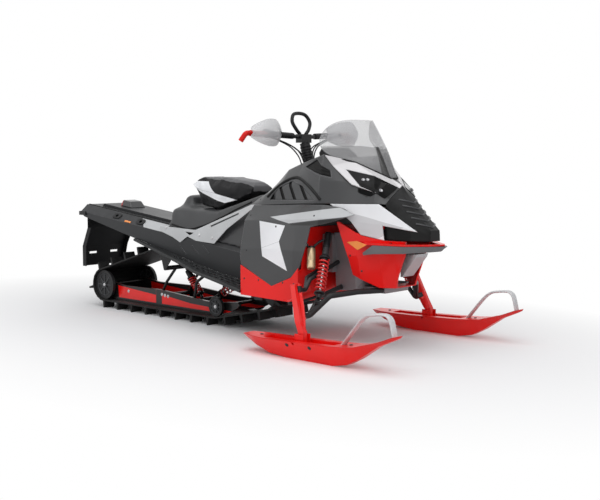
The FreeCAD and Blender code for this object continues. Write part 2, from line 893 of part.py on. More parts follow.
# Side panels: x, then y and z of four points from the hood's edge down
side_sections_shares = [
    (-0.03, (0.735, 0.744), (0.900, 0.660), (0.960, 0.500), (0.960, 0.300)),
    (0.16, (0.752, 0.749), (0.930, 0.670), (0.975, 0.520), (0.975, 0.300)),
    (0.40, (0.765, 0.760), (0.940, 0.680), (0.975, 0.520), (0.975, 0.300)),
    (0.54, (0.750, 0.762), (0.870, 0.690), (0.895, 0.520), (0.895, 0.300)),
    (0.76, (0.560, 0.735), (0.600, 0.700), (0.620, 0.520), (0.620, 0.300)),
]
side_outline_shares = [
    (0.030, 0.800), (0.520, 0.800), (0.710, 0.712), (0.600, 0.672), (0.497, 0.645), (0.480, 0.560), (0.440, 0.432),
    (0.390, 0.378), (0.247, 0.320), (0.012, 0.418), (0.000, 0.465), (0.012, 0.600),
]
pan_outline_shares = [
    (0.010, 0.418), (0.247, 0.320), (0.390, 0.378), (0.440, 0.432), (0.440, 0.300), (0.381, 0.246), (0.010, 0.253),
]
pan_half_share = 0.975
pan_low_share = 0.250
foot_well_shares = [(0.575, 0.290), (0.970, 0.290), (0.970, 0.398), (0.938, 0.402), (0.938, 0.500), (0.875, 0.660),
                    (0.715, 0.738), (0.575, 0.738)]
foot_well_x_share = 0.036
bay_wall_shares = [(0.970, 0.250), (0.970, 0.410), (0.900, 0.425), (0.880, 0.640)]
# Belly nose: x, then y and z of three points down its side
belly_sections_shares = [
    (0.560, (0.640, 0.695), (0.610, 0.500), (0.500, 0.330)),
    (0.700, (0.590, 0.620), (0.560, 0.500), (0.440, 0.330)),
    (0.800, (0.470, 0.592), (0.430, 0.500), (0.310, 0.330)),
    (0.860, (0.395, 0.584), (0.310, 0.500), (0.200, 0.330)),
    (0.940, (0.310, 0.580), (0.170, 0.500), (0.140, 0.360)),
]
belly_outline_shares = [
    (0.585, 0.672), (0.673, 0.675), (0.720, 0.608), (0.836, 0.582), (0.930, 0.580), (0.905, 0.500), (0.862, 0.385),
    (0.850, 0.332), (0.779, 0.333), (0.656, 0.398), (0.646, 0.487),
]
nose_panel_points_shares = {
    "rear": (0.559, 0.690, 0.766), "top": (0.797, 0.4225, 0.767), "front": (0.982, 0.215, 0.628),
    "notch": (0.826, 0.435, 0.658), "low_front": (0.836, 0.430, 0.584), "low_mid": (0.720, 0.5550, 0.610),
    "low_rear": (0.673, 0.6050, 0.677),
}
nose_panel_triangles = [("rear", "top", "low_rear"), ("top", "notch", "low_rear"), ("top", "front", "notch"),
                        ("low_rear", "notch", "low_mid"), ("notch", "low_front", "low_mid")]
lamp_points_shares = {
    "rear": (0.602, 0.485, 0.941), "low": (0.698, 0.485, 0.858), "mid": (0.758, 0.420, 0.834),
    "front_low": (0.817, 0.160, 0.797), "front": (0.820, 0.060, 0.846), "top": (0.720, 0.270, 0.908),
}
lamp_triangles = [("rear", "low", "top"), ("low", "mid", "top"), ("mid", "front_low", "top"),
                  ("front_low", "front", "top")]
trim_points_shares = {
    "back": (0.513, 0.655, 1.018), "high": (0.613, 0.390, 0.988), "crown": (0.762, 0.075, 0.900),
    "nose": (0.824, 0.020, 0.862), "inner": (0.545, 0.590, 0.962), "rear": (0.602, 0.490, 0.943),
    "top": (0.720, 0.275, 0.910), "front": (0.822, 0.064, 0.846), "lobe": (0.655, 0.545, 0.868),
    "low": (0.698, 0.490, 0.856), "tip": (0.758, 0.430, 0.831),
}
trim_triangles = [("back", "high", "inner"), ("high", "rear", "inner"), ("high", "top", "rear"),
                  ("high", "crown", "top"), ("crown", "front", "top"), ("crown", "nose", "front"),
                  ("inner", "rear", "lobe"), ("rear", "low", "lobe"), ("lobe", "low", "tip")]
lip_sections_shares = [
    (0.745, 0.570, 0.5605), (0.800, 0.550, 0.5605), (0.945, 0.370, 0.5565), (1.055, 0.120, 0.5575), (1.088, 0.0, 0.5595),
]
bumper_outer_shares = [(0.742, 0.575, 0.520), (0.800, 0.560, 0.560), (0.945, 0.380, 0.556), (1.066, 0.125, 0.557),
                       (1.104, 0.0, 0.559)]
bumper_inner_shares = [(0.742, 0.500, 0.516), (0.790, 0.440, 0.556), (0.925, 0.250, 0.552), (1.020, 0.080, 0.552),
                       (1.050, 0.0, 0.552)]
bumper_low_shares = [(0.740, 0.560, 0.506), (0.797, 0.545, 0.515), (0.938, 0.360, 0.520), (1.040, 0.115, 0.528),
                     (1.062, 0.0, 0.530)]
nose_plate_shares = [(0.850, 0.505), (0.952, 0.512), (0.946, 0.496), (0.860, 0.388), (0.850, 0.388)]
nose_plate_half_share = 0.125
screen_rows_shares = [
    ((0.502, 0.635, 1.015), (0.412, 0.540, 1.095), (0.458, 0.450, 1.176)),
    ((0.620, 0.370, 0.976), (0.572, 0.325, 1.120), (0.516, 0.275, 1.206)),
    ((0.765, 0.070, 0.892), (0.697, 0.085, 1.050), (0.598, 0.075, 1.200)),
]
screen_wall = 5.0
trim_wall = 8.0
lamp_depth = 14.0
bulkhead_sections_shares = [
    (0.510, 0.410, 0.300, 0.455, 0.610), (0.645, 0.412, 0.310, 0.460, 0.610), (0.710, 0.280, 0.420, 0.340, 0.570),
]
bulkhead_rear_shares = (0.448, 0.520, 0.510, 0.600)
bulkhead_window_shares = (0.330, 0.340, 0.560)
keel_shares = (0.640, 0.790, 0.250, 0.300, 0.327)
strut_shares = (0.700, 0.850, 0.110, 0.430, 0.495)


# Hood: the upper bodywork as a shell, from the dash to the nose
def hood_solid(inset, drop):
    sections = []
    for x, top, shoulder, shoulder_z, mid, mid_z, waist, waist_z in hood_sections_shares:
        half = [
            (0.0, body_z(top) - inset),
            (body_y(shoulder) - 0.4 * inset, body_z(shoulder_z) - inset),
            (body_y(mid) - inset, body_z(mid_z) - 0.7 * inset),
            (body_y(waist) - 1.3 * inset, body_z(waist_z) - drop),
        ]
        sections.append(full_section(body_x(x), half))
    return loft(sections)


def facet_plate(table, triangles, thickness):
    """A faceted sheet: each triangle is thickened by the same vector and they are joined."""
    points = {name: body_point(shares) for name, shares in table.items()}
    pieces = []
    for corners in triangles:
        pieces.append(face_of([points[c] for c in corners]).extrude(vec(thickness)))
    return fused(pieces)


lamp = facet_plate(lamp_points_shares, lamp_triangles, (-0.3 * lamp_depth, -0.7 * lamp_depth, -0.6 * lamp_depth))
trim = facet_plate(trim_points_shares, trim_triangles, (-0.3 * trim_wall, -0.7 * trim_wall, -0.6 * trim_wall)).cut(lamp)
nose_panel = facet_plate(nose_panel_points_shares, nose_panel_triangles, (-0.4 * panel_wall, -0.9 * panel_wall, 0.0))
nose_panel = nose_panel.cut(lamp)


def make_post():
    return cylinder(post_low, post_high, post_radius)


# Side vents and intakes: windows in the hood with a backing sheet and slats behind them
vent_outline_shares = [(0.136, 0.776), (0.150, 0.806), (0.200, 0.846), (0.285, 0.880), (0.375, 0.856), (0.445, 0.806),
                       (0.470, 0.784)]
vent_slat_shares = (0.178, 0.262, 0.346, 0.430)
vent_slat_width_share = 0.060
vent_slat_lean = 0.66
intake_outline_shares = [(0.352, 0.955), (0.446, 0.996), (0.538, 0.937), (0.548, 0.902)]
intake_bar_shares = [((0.380, 0.955), (0.540, 0.920)), ((0.410, 0.972), (0.542, 0.936))]
intake_bar_width_share = 0.007


def side_prism(shares, y_share):
    return side_plate(body_outline(shares), body_y(y_share), body_half_width)


def grown(shares, amount):
    """An outline grown about its middle."""
    x = sum(point[0] for point in shares) / len(shares)
    z = sum(point[1] for point in shares) / len(shares)
    return [(px + amount * (px - x), pz + amount * (pz - z)) for px, pz in shares]


vent_window = side_prism(vent_outline_shares, 0.25)
intake_window = side_prism(intake_outline_shares, 0.25)


def hood_layer(near, far):
    return hood_solid(near, overrun).cut(hood_solid(far, 2 * overrun))


backing = hood_layer(panel_wall + seam, 1.6 * panel_wall)
slat_layer = hood_layer(0.25 * panel_wall, 1.3 * panel_wall)


def make_vent():
    slats = []
    base = vent_outline_shares[0][1]
    top = vent_outline_shares[3][1]
    for x in vent_slat_shares:
        back = x - vent_slat_lean * (top - base)
        wide = vent_slat_width_share
        slats.append(side_prism([(x, base), (x + wide, base), (back + wide, top), (back, top)], 0.25))
    slats = fused(slats).common(vent_window).common(slat_layer)
    return main_solid(fused([backing.common(side_prism(grown(vent_outline_shares, 0.08), 0.25)), slats]))


def make_intake():
    bars = []
    for (x0, z0), (x1, z1) in intake_bar_shares:
        thick = intake_bar_width_share
        bars.append(side_prism([(x0, z0), (x1, z1), (x1, z1 - thick), (x0, z0 - thick)], 0.25))
    bars = fused(bars).common(intake_window).common(slat_layer)
    return main_solid(fused([backing.common(side_prism(grown(intake_outline_shares, 0.12), 0.25)), bars]))


def make_hood():
    shell = hood_solid(0.0, 0.0).cut(hood_solid(panel_wall, panel_wall + seam))
    axis = vec(post_high).sub(vec(post_low))
    hole = Part.makeCylinder(2.3 * post_radius, 2 * axis.Length, vec(post_low), axis)
    shell = shell.cut(hole)
    for window in pair(vent_window) + pair(intake_window):
        shell = shell.cut(window)
    return shell


# Nose: grille and lower front between the lamps and the bumper
def nose_solid(inset):
    sections = []
    for x, top, edge, edge_z, mid, mid_z, side, side_z, low, low_z in nose_sections_shares:
        half = [
            (0.0, body_z(top) - inset), (body_y(edge), body_z(edge_z) - inset),
            (body_y(mid) - 0.5 * inset, body_z(mid_z) - inset),
            (body_y(side) - inset, body_z(side_z) - 0.7 * inset),
            (body_y(low) - inset, body_z(low_z) - (overrun if inset else 0)),
        ]
        sections.append(full_section(body_x(x) + seam - inset, half))
    return loft(sections)


# Side panels between the hood and the belly pan
def side_sheet():
    sections = []
    for x, *points in side_sections_shares:
        outer = [(body_x(x), body_y(y), body_z(z)) for y, z in points]
        inner = [(px, py - panel_wall, pz - (panel_wall if n == 0 else 0)) for n, (px, py, pz) in enumerate(outer)]
        sections.append(outer + inner[::-1])
    return loft(sections)


side_cutter = side_plate(body_outline(side_outline_shares), 0.0, body_half_width + overrun)
side_panel = side_sheet().common(side_cutter).cut(nose_panel)


# Red belly pan: side pans, floor, foot wells and the wall before the suspension bay
def pan_solids():
    half = body_y(pan_half_share)
    shapes = []
    outline = [(x, z - seam) for x, z in body_outline(pan_outline_shares)]
    shapes += pair(side_plate(outline, half - panel_wall, half))
    low = body_z(pan_low_share)
    front = body_x(pan_outline_shares[3][0])
    shapes.append(box((body_x(pan_outline_shares[5][0]) - 10 * overrun, -half, low), (front, half, low + panel_wall)))
    well_x = body_x(foot_well_x_share)
    well = face_of([(well_x, body_y(y), body_z(z)) for y, z in foot_well_shares])
    shapes += pair(well.extrude(Vector(panel_wall, 0, 0)))
    wall = face_of(full_section(front, [(body_y(y), body_z(z)) for y, z in reversed(bay_wall_shares)]))
    shapes.append(wall.extrude(Vector(-panel_wall, 0, 0)))
    return shapes


def beam_box(side, grow):
    inner = engine_width / 2 + seam + bore_clearance
    floor = engine_low_z - seam - cradle_beam_width
    low = (tunnel_front_x + seam - grow, side * inner, floor - grow)
    high = (body_x(bulkhead_rear_shares[0]) + seam, side * (inner + cradle_beam_width),
            floor + cradle_beam_height + grow)
    y_low = min(low[1], high[1]) - grow
    y_high = max(low[1], high[1]) + grow
    return box((low[0], y_low, low[2]), (high[0] + grow, y_high, high[2]))


def make_belly_pan():
    pan = fused(pan_solids())
    for side in (-1, 1):
        pan = pan.cut(beam_box(side, seam))
    return pan


# Belly nose: the red front shell with a lip over the bumper
def belly_solid(inset):
    sections = []
    for x, *points in belly_sections_shares:
        half = [(body_y(y) - inset, body_z(z)) for y, z in points]
        if inset:
            half[0] = (half[0][0], half[0][1] + overrun)
            half[-1] = (half[-1][0], half[-1][1] + inset)
        sections.append(full_section(body_x(x) - inset, half))
    return loft(sections)


def strip(outer, inner, low):
    half = loft([[body_point(a), body_point(b), body_point(c)] for a, b, c in zip(outer, inner, low)])
    return fused(pair(half))


def make_lip():
    sections = []
    for x, y, z in lip_sections_shares:
        rear = x - 0.03
        inner = max(y - 0.06, 0.0)
        sections.append([body_point((x, y, z)), body_point((rear, inner, z)),
                         body_point((rear, inner, z + 0.009)), body_point((x, y, z + 0.009))])
    return fused(pair(loft(sections)))


front_bumper = strip(bumper_outer_shares, bumper_inner_shares, bumper_low_shares)
nose_plate = side_plate(body_outline(nose_plate_shares), -body_y(nose_plate_half_share), body_y(nose_plate_half_share))
nose_plate = nose_plate.cut(front_bumper)


def make_belly_nose():
    outline = side_plate(body_outline(belly_outline_shares), -body_half_width, body_half_width)
    shell = belly_solid(0.0).cut(belly_solid(panel_wall)).common(outline)
    return fused([shell, make_lip()]).cut(front_bumper).cut(nose_plate)


belly_nose = make_belly_nose()
for panel in pair(nose_panel):
    belly_nose = belly_nose.cut(panel)

nose = nose_solid(0.0).cut(nose_solid(panel_wall)).cut(belly_nose).cut(front_bumper)
hood = make_hood()
for piece in pair(lamp) + pair(trim) + pair(nose_panel):
    hood = hood.cut(piece)
    nose = nose.cut(piece)


# Windshield: a wrapped screen with a narrow centre panel
def make_windshield():
    rows = [[body_point(p) for p in row] for row in screen_rows_shares]
    rows += [[(x, -y, z) for x, y, z in row] for row in reversed(rows)]
    pieces = []
    for first, second in zip(rows, rows[1:]):
        for level in range(2):
            quad = [first[level], second[level], second[level + 1], first[level + 1]]
            for corners in (quad[:3], [quad[0], quad[2], quad[3]]):
                pieces.append(face_of(corners).extrude(Vector(-screen_wall, 0, 0.5 * screen_wall)))
    return fused(pieces)


windshield = make_windshield()
for piece in [hood] + pair(trim):
    windshield = windshield.cut(piece)

gauge_outline_shares = [(0.345, 0.940), (0.320, 1.030), (0.336, 1.052), (0.385, 1.058), (0.440, 1.020), (0.450, 0.960)]
gauge_half_share = 0.22
gauge_screen_depth = 3.0


def make_gauge():
    """The instrument pod behind the windshield, with its screen let in on the rider's side."""
    half = body_y(gauge_half_share)
    outline = body_outline(gauge_outline_shares)
    pod = side_plate(outline, -half, half)
    (x0, z0), (x1, z1) = outline[0], outline[1]
    low = between((x0, z0), (x1, z1), 0.42)
    high = between((x0, z0), (x1, z1), 0.94)
    border = 0.86 * half
    screen = side_plate([low, high, (high[0] + gauge_screen_depth, high[1]), (low[0] + gauge_screen_depth, low[1])],
                        -border, border)
    return pod.cut(screen).cut(hood_solid(0.0, overrun))


keep("gauge", make_gauge())
keep("side_vents", *pair(make_vent()))
keep("intake_grilles", *pair(make_intake()))
keep("hood", main_solid(hood))
keep("nose", main_solid(nose))
keep("nose_panels", *pair(nose_panel))
keep("lamp_trim", *pair(trim))
keep("headlamps", *pair(lamp))
keep("side_panels", *pair(side_panel.cut(hood)))
keep("belly_pan", make_belly_pan())
keep("belly_nose", belly_nose)
keep("front_bumper", front_bumper)
keep("nose_plate", nose_plate)
keep("windshield", main_solid(windshield))


# Chassis: bulkhead with its cradle beams and the hoop that holds the steering post
def trapezoid_section(shares):
    x, low_half, low, high_half, high = shares
    return full_section(body_x(x), [(body_y(high_half), body_z(high)), (body_y(low_half), body_z(low))])


def bulkhead_block():
    front = loft([trapezoid_section(s) for s in bulkhead_sections_shares])
    shapes = [front]
    rear_x, front_x, half, high = bulkhead_rear_shares
    shapes.append(box((body_x(rear_x), -body_y(half), engine_low_z - cradle_beam_width / 2),
                      (body_x(front_x) - seam, body_y(half), body_z(high))))
    for rear_x, front_x, half, low, high in (keel_shares, strut_shares):
        shapes.append(box((body_x(rear_x), -body_y(half), body_z(low)),
                          (body_x(front_x) - seam, body_y(half), body_z(high))))
    return fused(shapes)


def make_bulkhead():
    half, low, high = bulkhead_window_shares
    start = body_x(bulkhead_rear_shares[0]) - overrun
    window = box((start, -body_y(half), body_z(low)),
                 (body_x(bulkhead_sections_shares[1][0]), body_y(half), body_z(high)))
    shapes = [bulkhead_block().cut(window)]
    for side in (-1, 1):
        shapes.append(beam_box(side, 0.0))
    reach = engine_width / 2 + cradle_beam_width
    for share in (0.1, 0.9):
        x = engine_rear_x + share * engine_length
        shapes.append(box((x - cradle_beam_width, -reach, engine_low_z - cradle_beam_width - seam),
                          (x + cradle_beam_width, reach, engine_low_z - seam)))
    return fused(shapes)


def make_post_frame():
    """A collar round the post on two tubes that stand on the cradle beams."""
    axis = vec(post_high).sub(vec(post_low)).normalize()
    base = vec(post_low).add(axis * post_collar_wall)
    collar = Part.makeCylinder(post_radius + post_collar_wall, post_collar_height, base, axis)
    beam_y = engine_width / 2 + cradle_beam_width / 2
    foot_x = tunnel_front_x + overrun
    middle = base.add(axis * (post_collar_height / 2))
    legs = []
    for side in (-1, 1):
        legs.append(cylinder((foot_x, side * beam_y, engine_low_z + cradle_beam_height / 2),
                             (middle.x, middle.y, middle.z), upper_arm_radius))
    bore = Part.makeCylinder(post_radius + bore_clearance, 4 * post_collar_height, vec(post_low).sub(axis * overrun), axis)
    return fused([collar] + legs).cut(bore)


bulkhead = fused([make_bulkhead(), make_post_frame()])
keep("bulkhead", bulkhead)
keep("engine", box((engine_rear_x, -engine_width / 2, engine_low_z),
                   (engine_rear_x + engine_length, engine_width / 2, engine_low_z + engine_height)))


# Front suspension. The kingpin leans; each ball housing is turned about it
def on_kingpin(height):
    return between(kingpin_low, kingpin_top, (height - kingpin_low[2]) / (kingpin_top[2] - kingpin_low[2]))


kingpin_axis = vec(kingpin_top).sub(vec(kingpin_low)).normalize()
kingpin_turn = FreeCAD.Rotation(Vector(1, 0, 0), Vector(0, 1, 0), kingpin_axis, "ZXY")


def on_kingpin_frame(shape, height):
    """Moves a shape drawn about the origin to the kingpin at a height."""
    moved = shape.copy()
    moved.Placement = FreeCAD.Placement(vec(on_kingpin(height)), kingpin_turn)
    return moved


def ball_housing(height):
    half = ball_housing_height / 2
    ring = cylinder((0, 0, -half), (0, 0, half), ball_housing_radius)
    return on_kingpin_frame(ring, height)


def ball_bore(height):
    reach = ball_housing_height
    return on_kingpin_frame(cylinder((0, 0, -reach), (0, 0, reach), ball_pin_radius + bore_clearance), height)


def disc_room(height, direction):
    """The room beside a ball housing that the spindle's disc turns in."""
    near = direction * ball_housing_height / 2
    far = near + direction * (lug_disc_height + moving_gap)
    room = cylinder((0, 0, near), (0, 0, far), ball_housing_radius + moving_gap)
    return on_kingpin_frame(room, height)


lower_front_shares = [(0.770, 0.230, 0.316), (0.710, 0.575, 0.316), (0.645, 0.930, 0.303)]
lower_rear_shares = [(0.545, 0.400, 0.322), (0.574, 0.930, 0.292)]
upper_front_shares = [(0.532, 0.400, 0.458), (0.522, 0.960, 0.380)]
upper_rear_shares = [(0.485, 0.400, 0.458), (0.494, 0.950, 0.386)]


def arm_tube(shares, ball_z, radius):
    """An arm's tube, which comes up to its ball housing square to the kingpin."""
    ball = vec(on_kingpin(ball_z))
    approach = ball.sub(kingpin_turn.multVec(Vector(0, ball_approach, 0)))
    points = [body_point(s) for s in shares] + [tuple(approach), tuple(ball)]
    return bent_tube(points, radius, 2.2 * radius)


def make_arms():
    lower = fused([arm_tube(lower_front_shares, low_ball_z, lower_arm_radius),
                   arm_tube(lower_rear_shares, low_ball_z, lower_arm_rear_radius), ball_housing(low_ball_z)])
    upper = fused([arm_tube(upper_front_shares, high_ball_z, upper_arm_radius),
                   arm_tube(upper_rear_shares, high_ball_z, upper_arm_rear_radius), ball_housing(high_ball_z)])
    block = bulkhead_block()
    lower = lower.cut(ball_bore(low_ball_z)).cut(block).cut(disc_room(low_ball_z, -1))
    upper = upper.cut(ball_bore(high_ball_z)).cut(block).cut(disc_room(high_ball_z, 1))
    return [main_solid(lower), main_solid(upper)]


arms = make_arms()
keep("front_arms", *(pair(arms[0]) + pair(arms[1])))

shock_top_shares = (0.495, 0.530, 0.605)
shock_low_shares = (0.606, 1.045, 0.268)
reservoir_top_shares = (0.462, 0.775, 0.535)
reservoir_low_shares = (0.492, 0.860, 0.425)


def make_shock():
    top = body_point(shock_top_shares)
    low = body_point(shock_low_shares)
    shapes = [
        cylinder(top, low, shock_eye_radius),
        cylinder(between(top, low, 0.04), between(top, low, 0.40), shock_body_radius),
        cylinder(between(top, low, 0.34), between(top, low, 0.86), shock_spring_radius),
        cylinder((top[0], 0.7 * top[1], top[2] - shock_eye_radius), (top[0], top[1] + shock_eye_radius,
                 top[2] - shock_eye_radius), shock_eye_radius + 1.0 * seam),
    ]
    return fused(shapes).cut(bulkhead_block()).cut(arms[0]).cut(arms[1])


shock = make_shock()


def make_reservoir():
    top = body_point(reservoir_top_shares)
    low = body_point(reservoir_low_shares)
    link_start = between(top, low, 0.3)
    link_end = between(body_point(shock_top_shares), body_point(shock_low_shares), 0.3)
    shapes = [cylinder(top, low, reservoir_radius), cylinder(link_start, link_end, shock_eye_radius)]
    return fused(shapes).cut(shock)


keep("front_shocks", *pair(shock))
keep("shock_reservoirs", *pair(make_reservoir()))


# Spindles: an upright outboard of the kingpin, with discs and pins that hold both housings
def spindle_disc(height, direction):
    """A disc beyond a housing, with the pin that runs back through it."""
    near = direction * (ball_housing_height / 2 + seam)
    far = near + direction * lug_disc_height
    disc = cylinder((0, 0, near), (0, 0, far), ball_housing_radius)
    pin = cylinder((0, 0, far), (0, 0, -near), ball_pin_radius)
    web = box((-0.7 * ball_housing_radius, 0, min(near, far)), (0.7 * ball_housing_radius, upright_offset, max(near, far)))
    return on_kingpin_frame(fused([disc, pin, web]), height)


def upright_ring(height, offset, half_x, half_y):
    x, y, z = on_kingpin(height)
    y += offset
    return [(x - half_x, y - half_y, z), (x + half_x, y - half_y, z), (x + half_x, y + half_y, z),
            (x - half_x, y + half_y, z)]


def bolt_ring(z, half_x, half_y):
    return [(ski_bolt_x - half_x, ski_stance_half - half_y, z), (ski_bolt_x + half_x, ski_stance_half - half_y, z),
            (ski_bolt_x + half_x, ski_stance_half + half_y, z), (ski_bolt_x - half_x, ski_stance_half + half_y, z)]


def arm_boss(height):
    ring = cylinder((-steering_arm_length, 0, 0), (-steering_arm_length, 0, rod_boss_height), rod_boss_radius)
    return on_kingpin_frame(ring, height)


def rod_pin(radius, low, high):
    pin = cylinder((-steering_arm_length, 0, low), (-steering_arm_length, 0, high), radius)
    return on_kingpin_frame(pin, steering_arm_z)


def make_spindle():
    half_x = upright_width / 2
    half_y = upright_thickness / 2
    top_z = high_ball_z + ball_housing_height
    low_z = low_ball_z - ball_housing_height
    knee_z = ski_ear_top_z + half_y
    upright = loft([
        upright_ring(top_z, upright_offset, 0.8 * half_x, half_y),
        upright_ring(low_z, upright_offset, half_x, half_y),
        bolt_ring(knee_z, half_x, spindle_foot_half),
        bolt_ring(ski_bolt_z, spindle_foot_radius, spindle_foot_half),
    ])
    foot = cylinder((ski_bolt_x, ski_stance_half - spindle_foot_half, ski_bolt_z),
                    (ski_bolt_x, ski_stance_half + spindle_foot_half, ski_bolt_z), spindle_foot_radius)
    pin_half = ski_ear_gap + ski_ear_thickness + 2.0 * seam
    pin = cylinder((ski_bolt_x, ski_stance_half - pin_half, ski_bolt_z),
                   (ski_bolt_x, ski_stance_half + pin_half, ski_bolt_z), ski_bolt_radius)
    arm = cylinder((0, upright_offset, rod_boss_height / 2), (-steering_arm_length, 0, rod_boss_height / 2),
                   0.45 * rod_boss_height)
    shapes = [upright, foot, pin, spindle_disc(high_ball_z, 1), spindle_disc(low_ball_z, -1),
              on_kingpin_frame(arm, steering_arm_z), arm_boss(steering_arm_z)]
    return fused(shapes).cut(rod_pin(rod_pin_radius + bore_clearance, -rod_boss_height, 2 * rod_boss_height))


spindle = make_spindle()
keep("spindle_right", mirrored(spindle))
keep("spindle_left", spindle)


def make_tie_rod():
    eye = cylinder((-steering_arm_length, 0, -seam - rod_boss_height), (-steering_arm_length, 0, -seam), rod_boss_radius)
    eye = on_kingpin_frame(eye, steering_arm_z)
    centre = eye.CenterOfMass
    neck = centre.sub(kingpin_turn.multVec(Vector(0, 3 * rod_boss_height, 0)))
    inner = (neck.x, tie_rod_inner_y, centre.z + tie_rod_rise)
    rod = bent_tube([tuple(centre), tuple(neck), inner], 0.45 * rod_boss_height, rod_boss_height)
    sleeve = cylinder(between(tuple(neck), inner, 0.1), inner, tie_rod_radius)
    return fused([eye, rod, sleeve, rod_pin(rod_pin_radius, -seam - rod_boss_height, rod_boss_height)])


tie_rod = make_tie_rod()
keep("tie_rod_right", mirrored(tie_rod))
keep("tie_rod_left", tie_rod)


# Skis: x along the ski, half width, top and sole height
ski_sections_shares = [
    (0.00, 0.51, 0.48, 0.37), (0.08, 0.80, 0.48, 0.20), (0.18, 0.95, 0.48, 0.05), (0.30, 1.00, 0.49, 0.00),
    (0.61, 1.00, 0.55, 0.00), (0.70, 0.96, 0.58, 0.09), (0.77, 0.88, 0.62, 0.28), (0.89, 0.62, 0.79, 0.69),
    (0.97, 0.44, 0.96, 0.87), (1.00, 0.22, 1.00, 0.95),
]
ski_keel_share = 0.36
ski_pocket_shares = (0.15, 0.63)


def ski_x(share):
    return ski_rear_x + share * ski_length


def make_ski():
    sections = []
    for along, half_share, top_share, low_share in ski_sections_shares:
        x = ski_x(along)
        half = half_share * ski_half_width
        top = top_share * ski_height
        low = low_share * ski_height
        ring = [(-half, top), (-0.7 * half, 0.55 * top + 0.45 * low), (-ski_keel_share * half, low),
                (ski_keel_share * half, low), (0.7 * half, 0.55 * top + 0.45 * low), (half, top)]
        sections.append([(x, ski_stance_half + y, z) for y, z in ring])
    ski = loft(sections)
    ski = ski.cut(box((ski_x(ski_pocket_shares[0]), ski_stance_half - ski_pocket_half, ski_pocket_floor_z),
                      (ski_x(ski_pocket_shares[1]), ski_stance_half + ski_pocket_half, ski_height)))
    ears = []
    for side in (-1, 1):
        inner = ski_stance_half + side * ski_ear_gap
        outer = inner + side * ski_ear_thickness
        ears.append(box((ski_bolt_x - 1.5 * spindle_foot_radius, min(inner, outer), ski_pocket_floor_z - seam),
                        (ski_bolt_x + 1.5 * spindle_foot_radius, max(inner, outer), ski_ear_top_z)))
    bore = cylinder((ski_bolt_x, ski_stance_half - ski_half_width, ski_bolt_z),
                    (ski_bolt_x, ski_stance_half + ski_half_width, ski_bolt_z), ski_bolt_radius + bore_clearance)
    return fused([ski] + ears).cut(bore)


ski = make_ski()
keep("ski_right", mirrored(ski))
keep("ski_left", ski)

# Ski loops: a flat grey handle over each ski's front
loop_route_shares = [(0.655, 0.52), (0.733, 1.01), (0.803, 1.39), (0.918, 1.50), (0.972, 0.93)]


def make_ski_loop():
    points = [(ski_x(x), ski_stance_half, z * ski_height) for x, z in loop_route_shares]
    start = vec(points[0])
    heading = vec(points[1]).sub(start).normalize()
    normal = Vector(-heading.z, 0, heading.x)
    half = loop_width / 2
    ring = []
    for y, rise in ((-half, 0.6), (-0.5 * half, 1), (0.5 * half, 1), (half, 0.6), (half, -0.6), (0.5 * half, -1),
                    (-0.5 * half, -1), (-half, -0.6)):
        corner = start.add(Vector(0, y, 0)).add(normal * (rise * loop_thickness / 2))
        ring.append((corner.x, corner.y, corner.z))
    band = bent_path(points, 2.0 * loop_thickness).makePipeShell([polygon(ring)], True, False)
    return band.cut(ski)


ski_loop = make_ski_loop()
keep("ski_loop_right", mirrored(ski_loop))
keep("ski_loop_left", ski_loop)


# Steering post, handlebar and what it carries
keep("steering_post", make_post())
bar_crown_z = post_high[2] + bar_radius + 0.35 * post_radius
bar_middle_shares = (0.17, 0.57)
bar_rise = 13.0
bar_back = 23.0


def bar_core():
    x = post_high[0]
    inner, outer = [share * bar_half_width for share in bar_middle_shares]
    half = [(x - bar_back, bar_half_width, bar_crown_z + bar_rise), (x - 0.7 * bar_back, outer, bar_crown_z + 0.6 * bar_rise),
            (x, inner, bar_crown_z)]
    points = half + [(px, -py, pz) for px, py, pz in reversed(half)]
    return bent_tube(points, bar_radius, bar_bend)


bar = bar_core()
grip_z = bar_crown_z + bar_rise
grip_x = post_high[0] - bar_back
guard_x = post_high[0]


def make_handlebar():
    half = 2.4 * post_radius
    low = (post_high[0] - 1.5 * post_radius, -half, post_high[2] - post_radius)
    high = (post_high[0] + 1.2 * post_radius, half, bar_crown_z + 1.3 * bar_radius)
    clamp = box(low, high).cut(make_post())
    return fused([bar, clamp])


keep("handlebar", make_handlebar())


def make_grip():
    sleeve = cylinder((grip_x, grip_inner_y, grip_z - 0.3 * bar_rise), (grip_x, bar_half_width - 6 * seam, grip_z), grip_radius)
    end = bar_half_width
    hook = bent_tube([(grip_x, end - grip_radius, grip_z), (grip_x - 6 * seam, end + 2 * grip_hook_radius, grip_z),
                      (grip_x - 2 * grip_hook_radius, end + 3 * grip_hook_radius, grip_z - 3 * grip_hook_radius)],
                     grip_hook_radius, 1.3 * grip_hook_radius)
    return fused([sleeve, hook]).cut(bar)


grip = make_grip()
keep("grips", *pair(grip))


def make_control():
    inner_z = grip_z - 0.35 * bar_rise
    pod = cylinder((grip_x + 0.15 * bar_back, control_inner_y, inner_z), (grip_x, grip_inner_y - seam, grip_z - 0.2 * bar_rise),
                   control_radius)
    reach = 3 * control_radius
    lever = bent_tube([(grip_x + 0.8 * control_radius, grip_inner_y - control_radius, inner_z),
                       (grip_x + reach, grip_inner_y + lever_radius, inner_z - lever_radius),
                       (grip_x + reach, bar_half_width - 2 * lever_radius, inner_z - 2 * lever_radius)],
                      lever_radius, 3 * lever_radius)
    return fused([pod, lever]).cut(bar).cut(grip)


control = make_control()
keep("controls", *pair(control))

guard_rows_shares = [(0.15, 0.49, 0.34), (0.72, 0.56, 0.72), (0.97, 0.68, 0.96), (1.00, 0.79, 1.00), (0.93, 0.91, 0.86),
                     (0.60, 1.03, 0.55), (0.22, 1.08, 0.26)]
guard_reach = 88.0


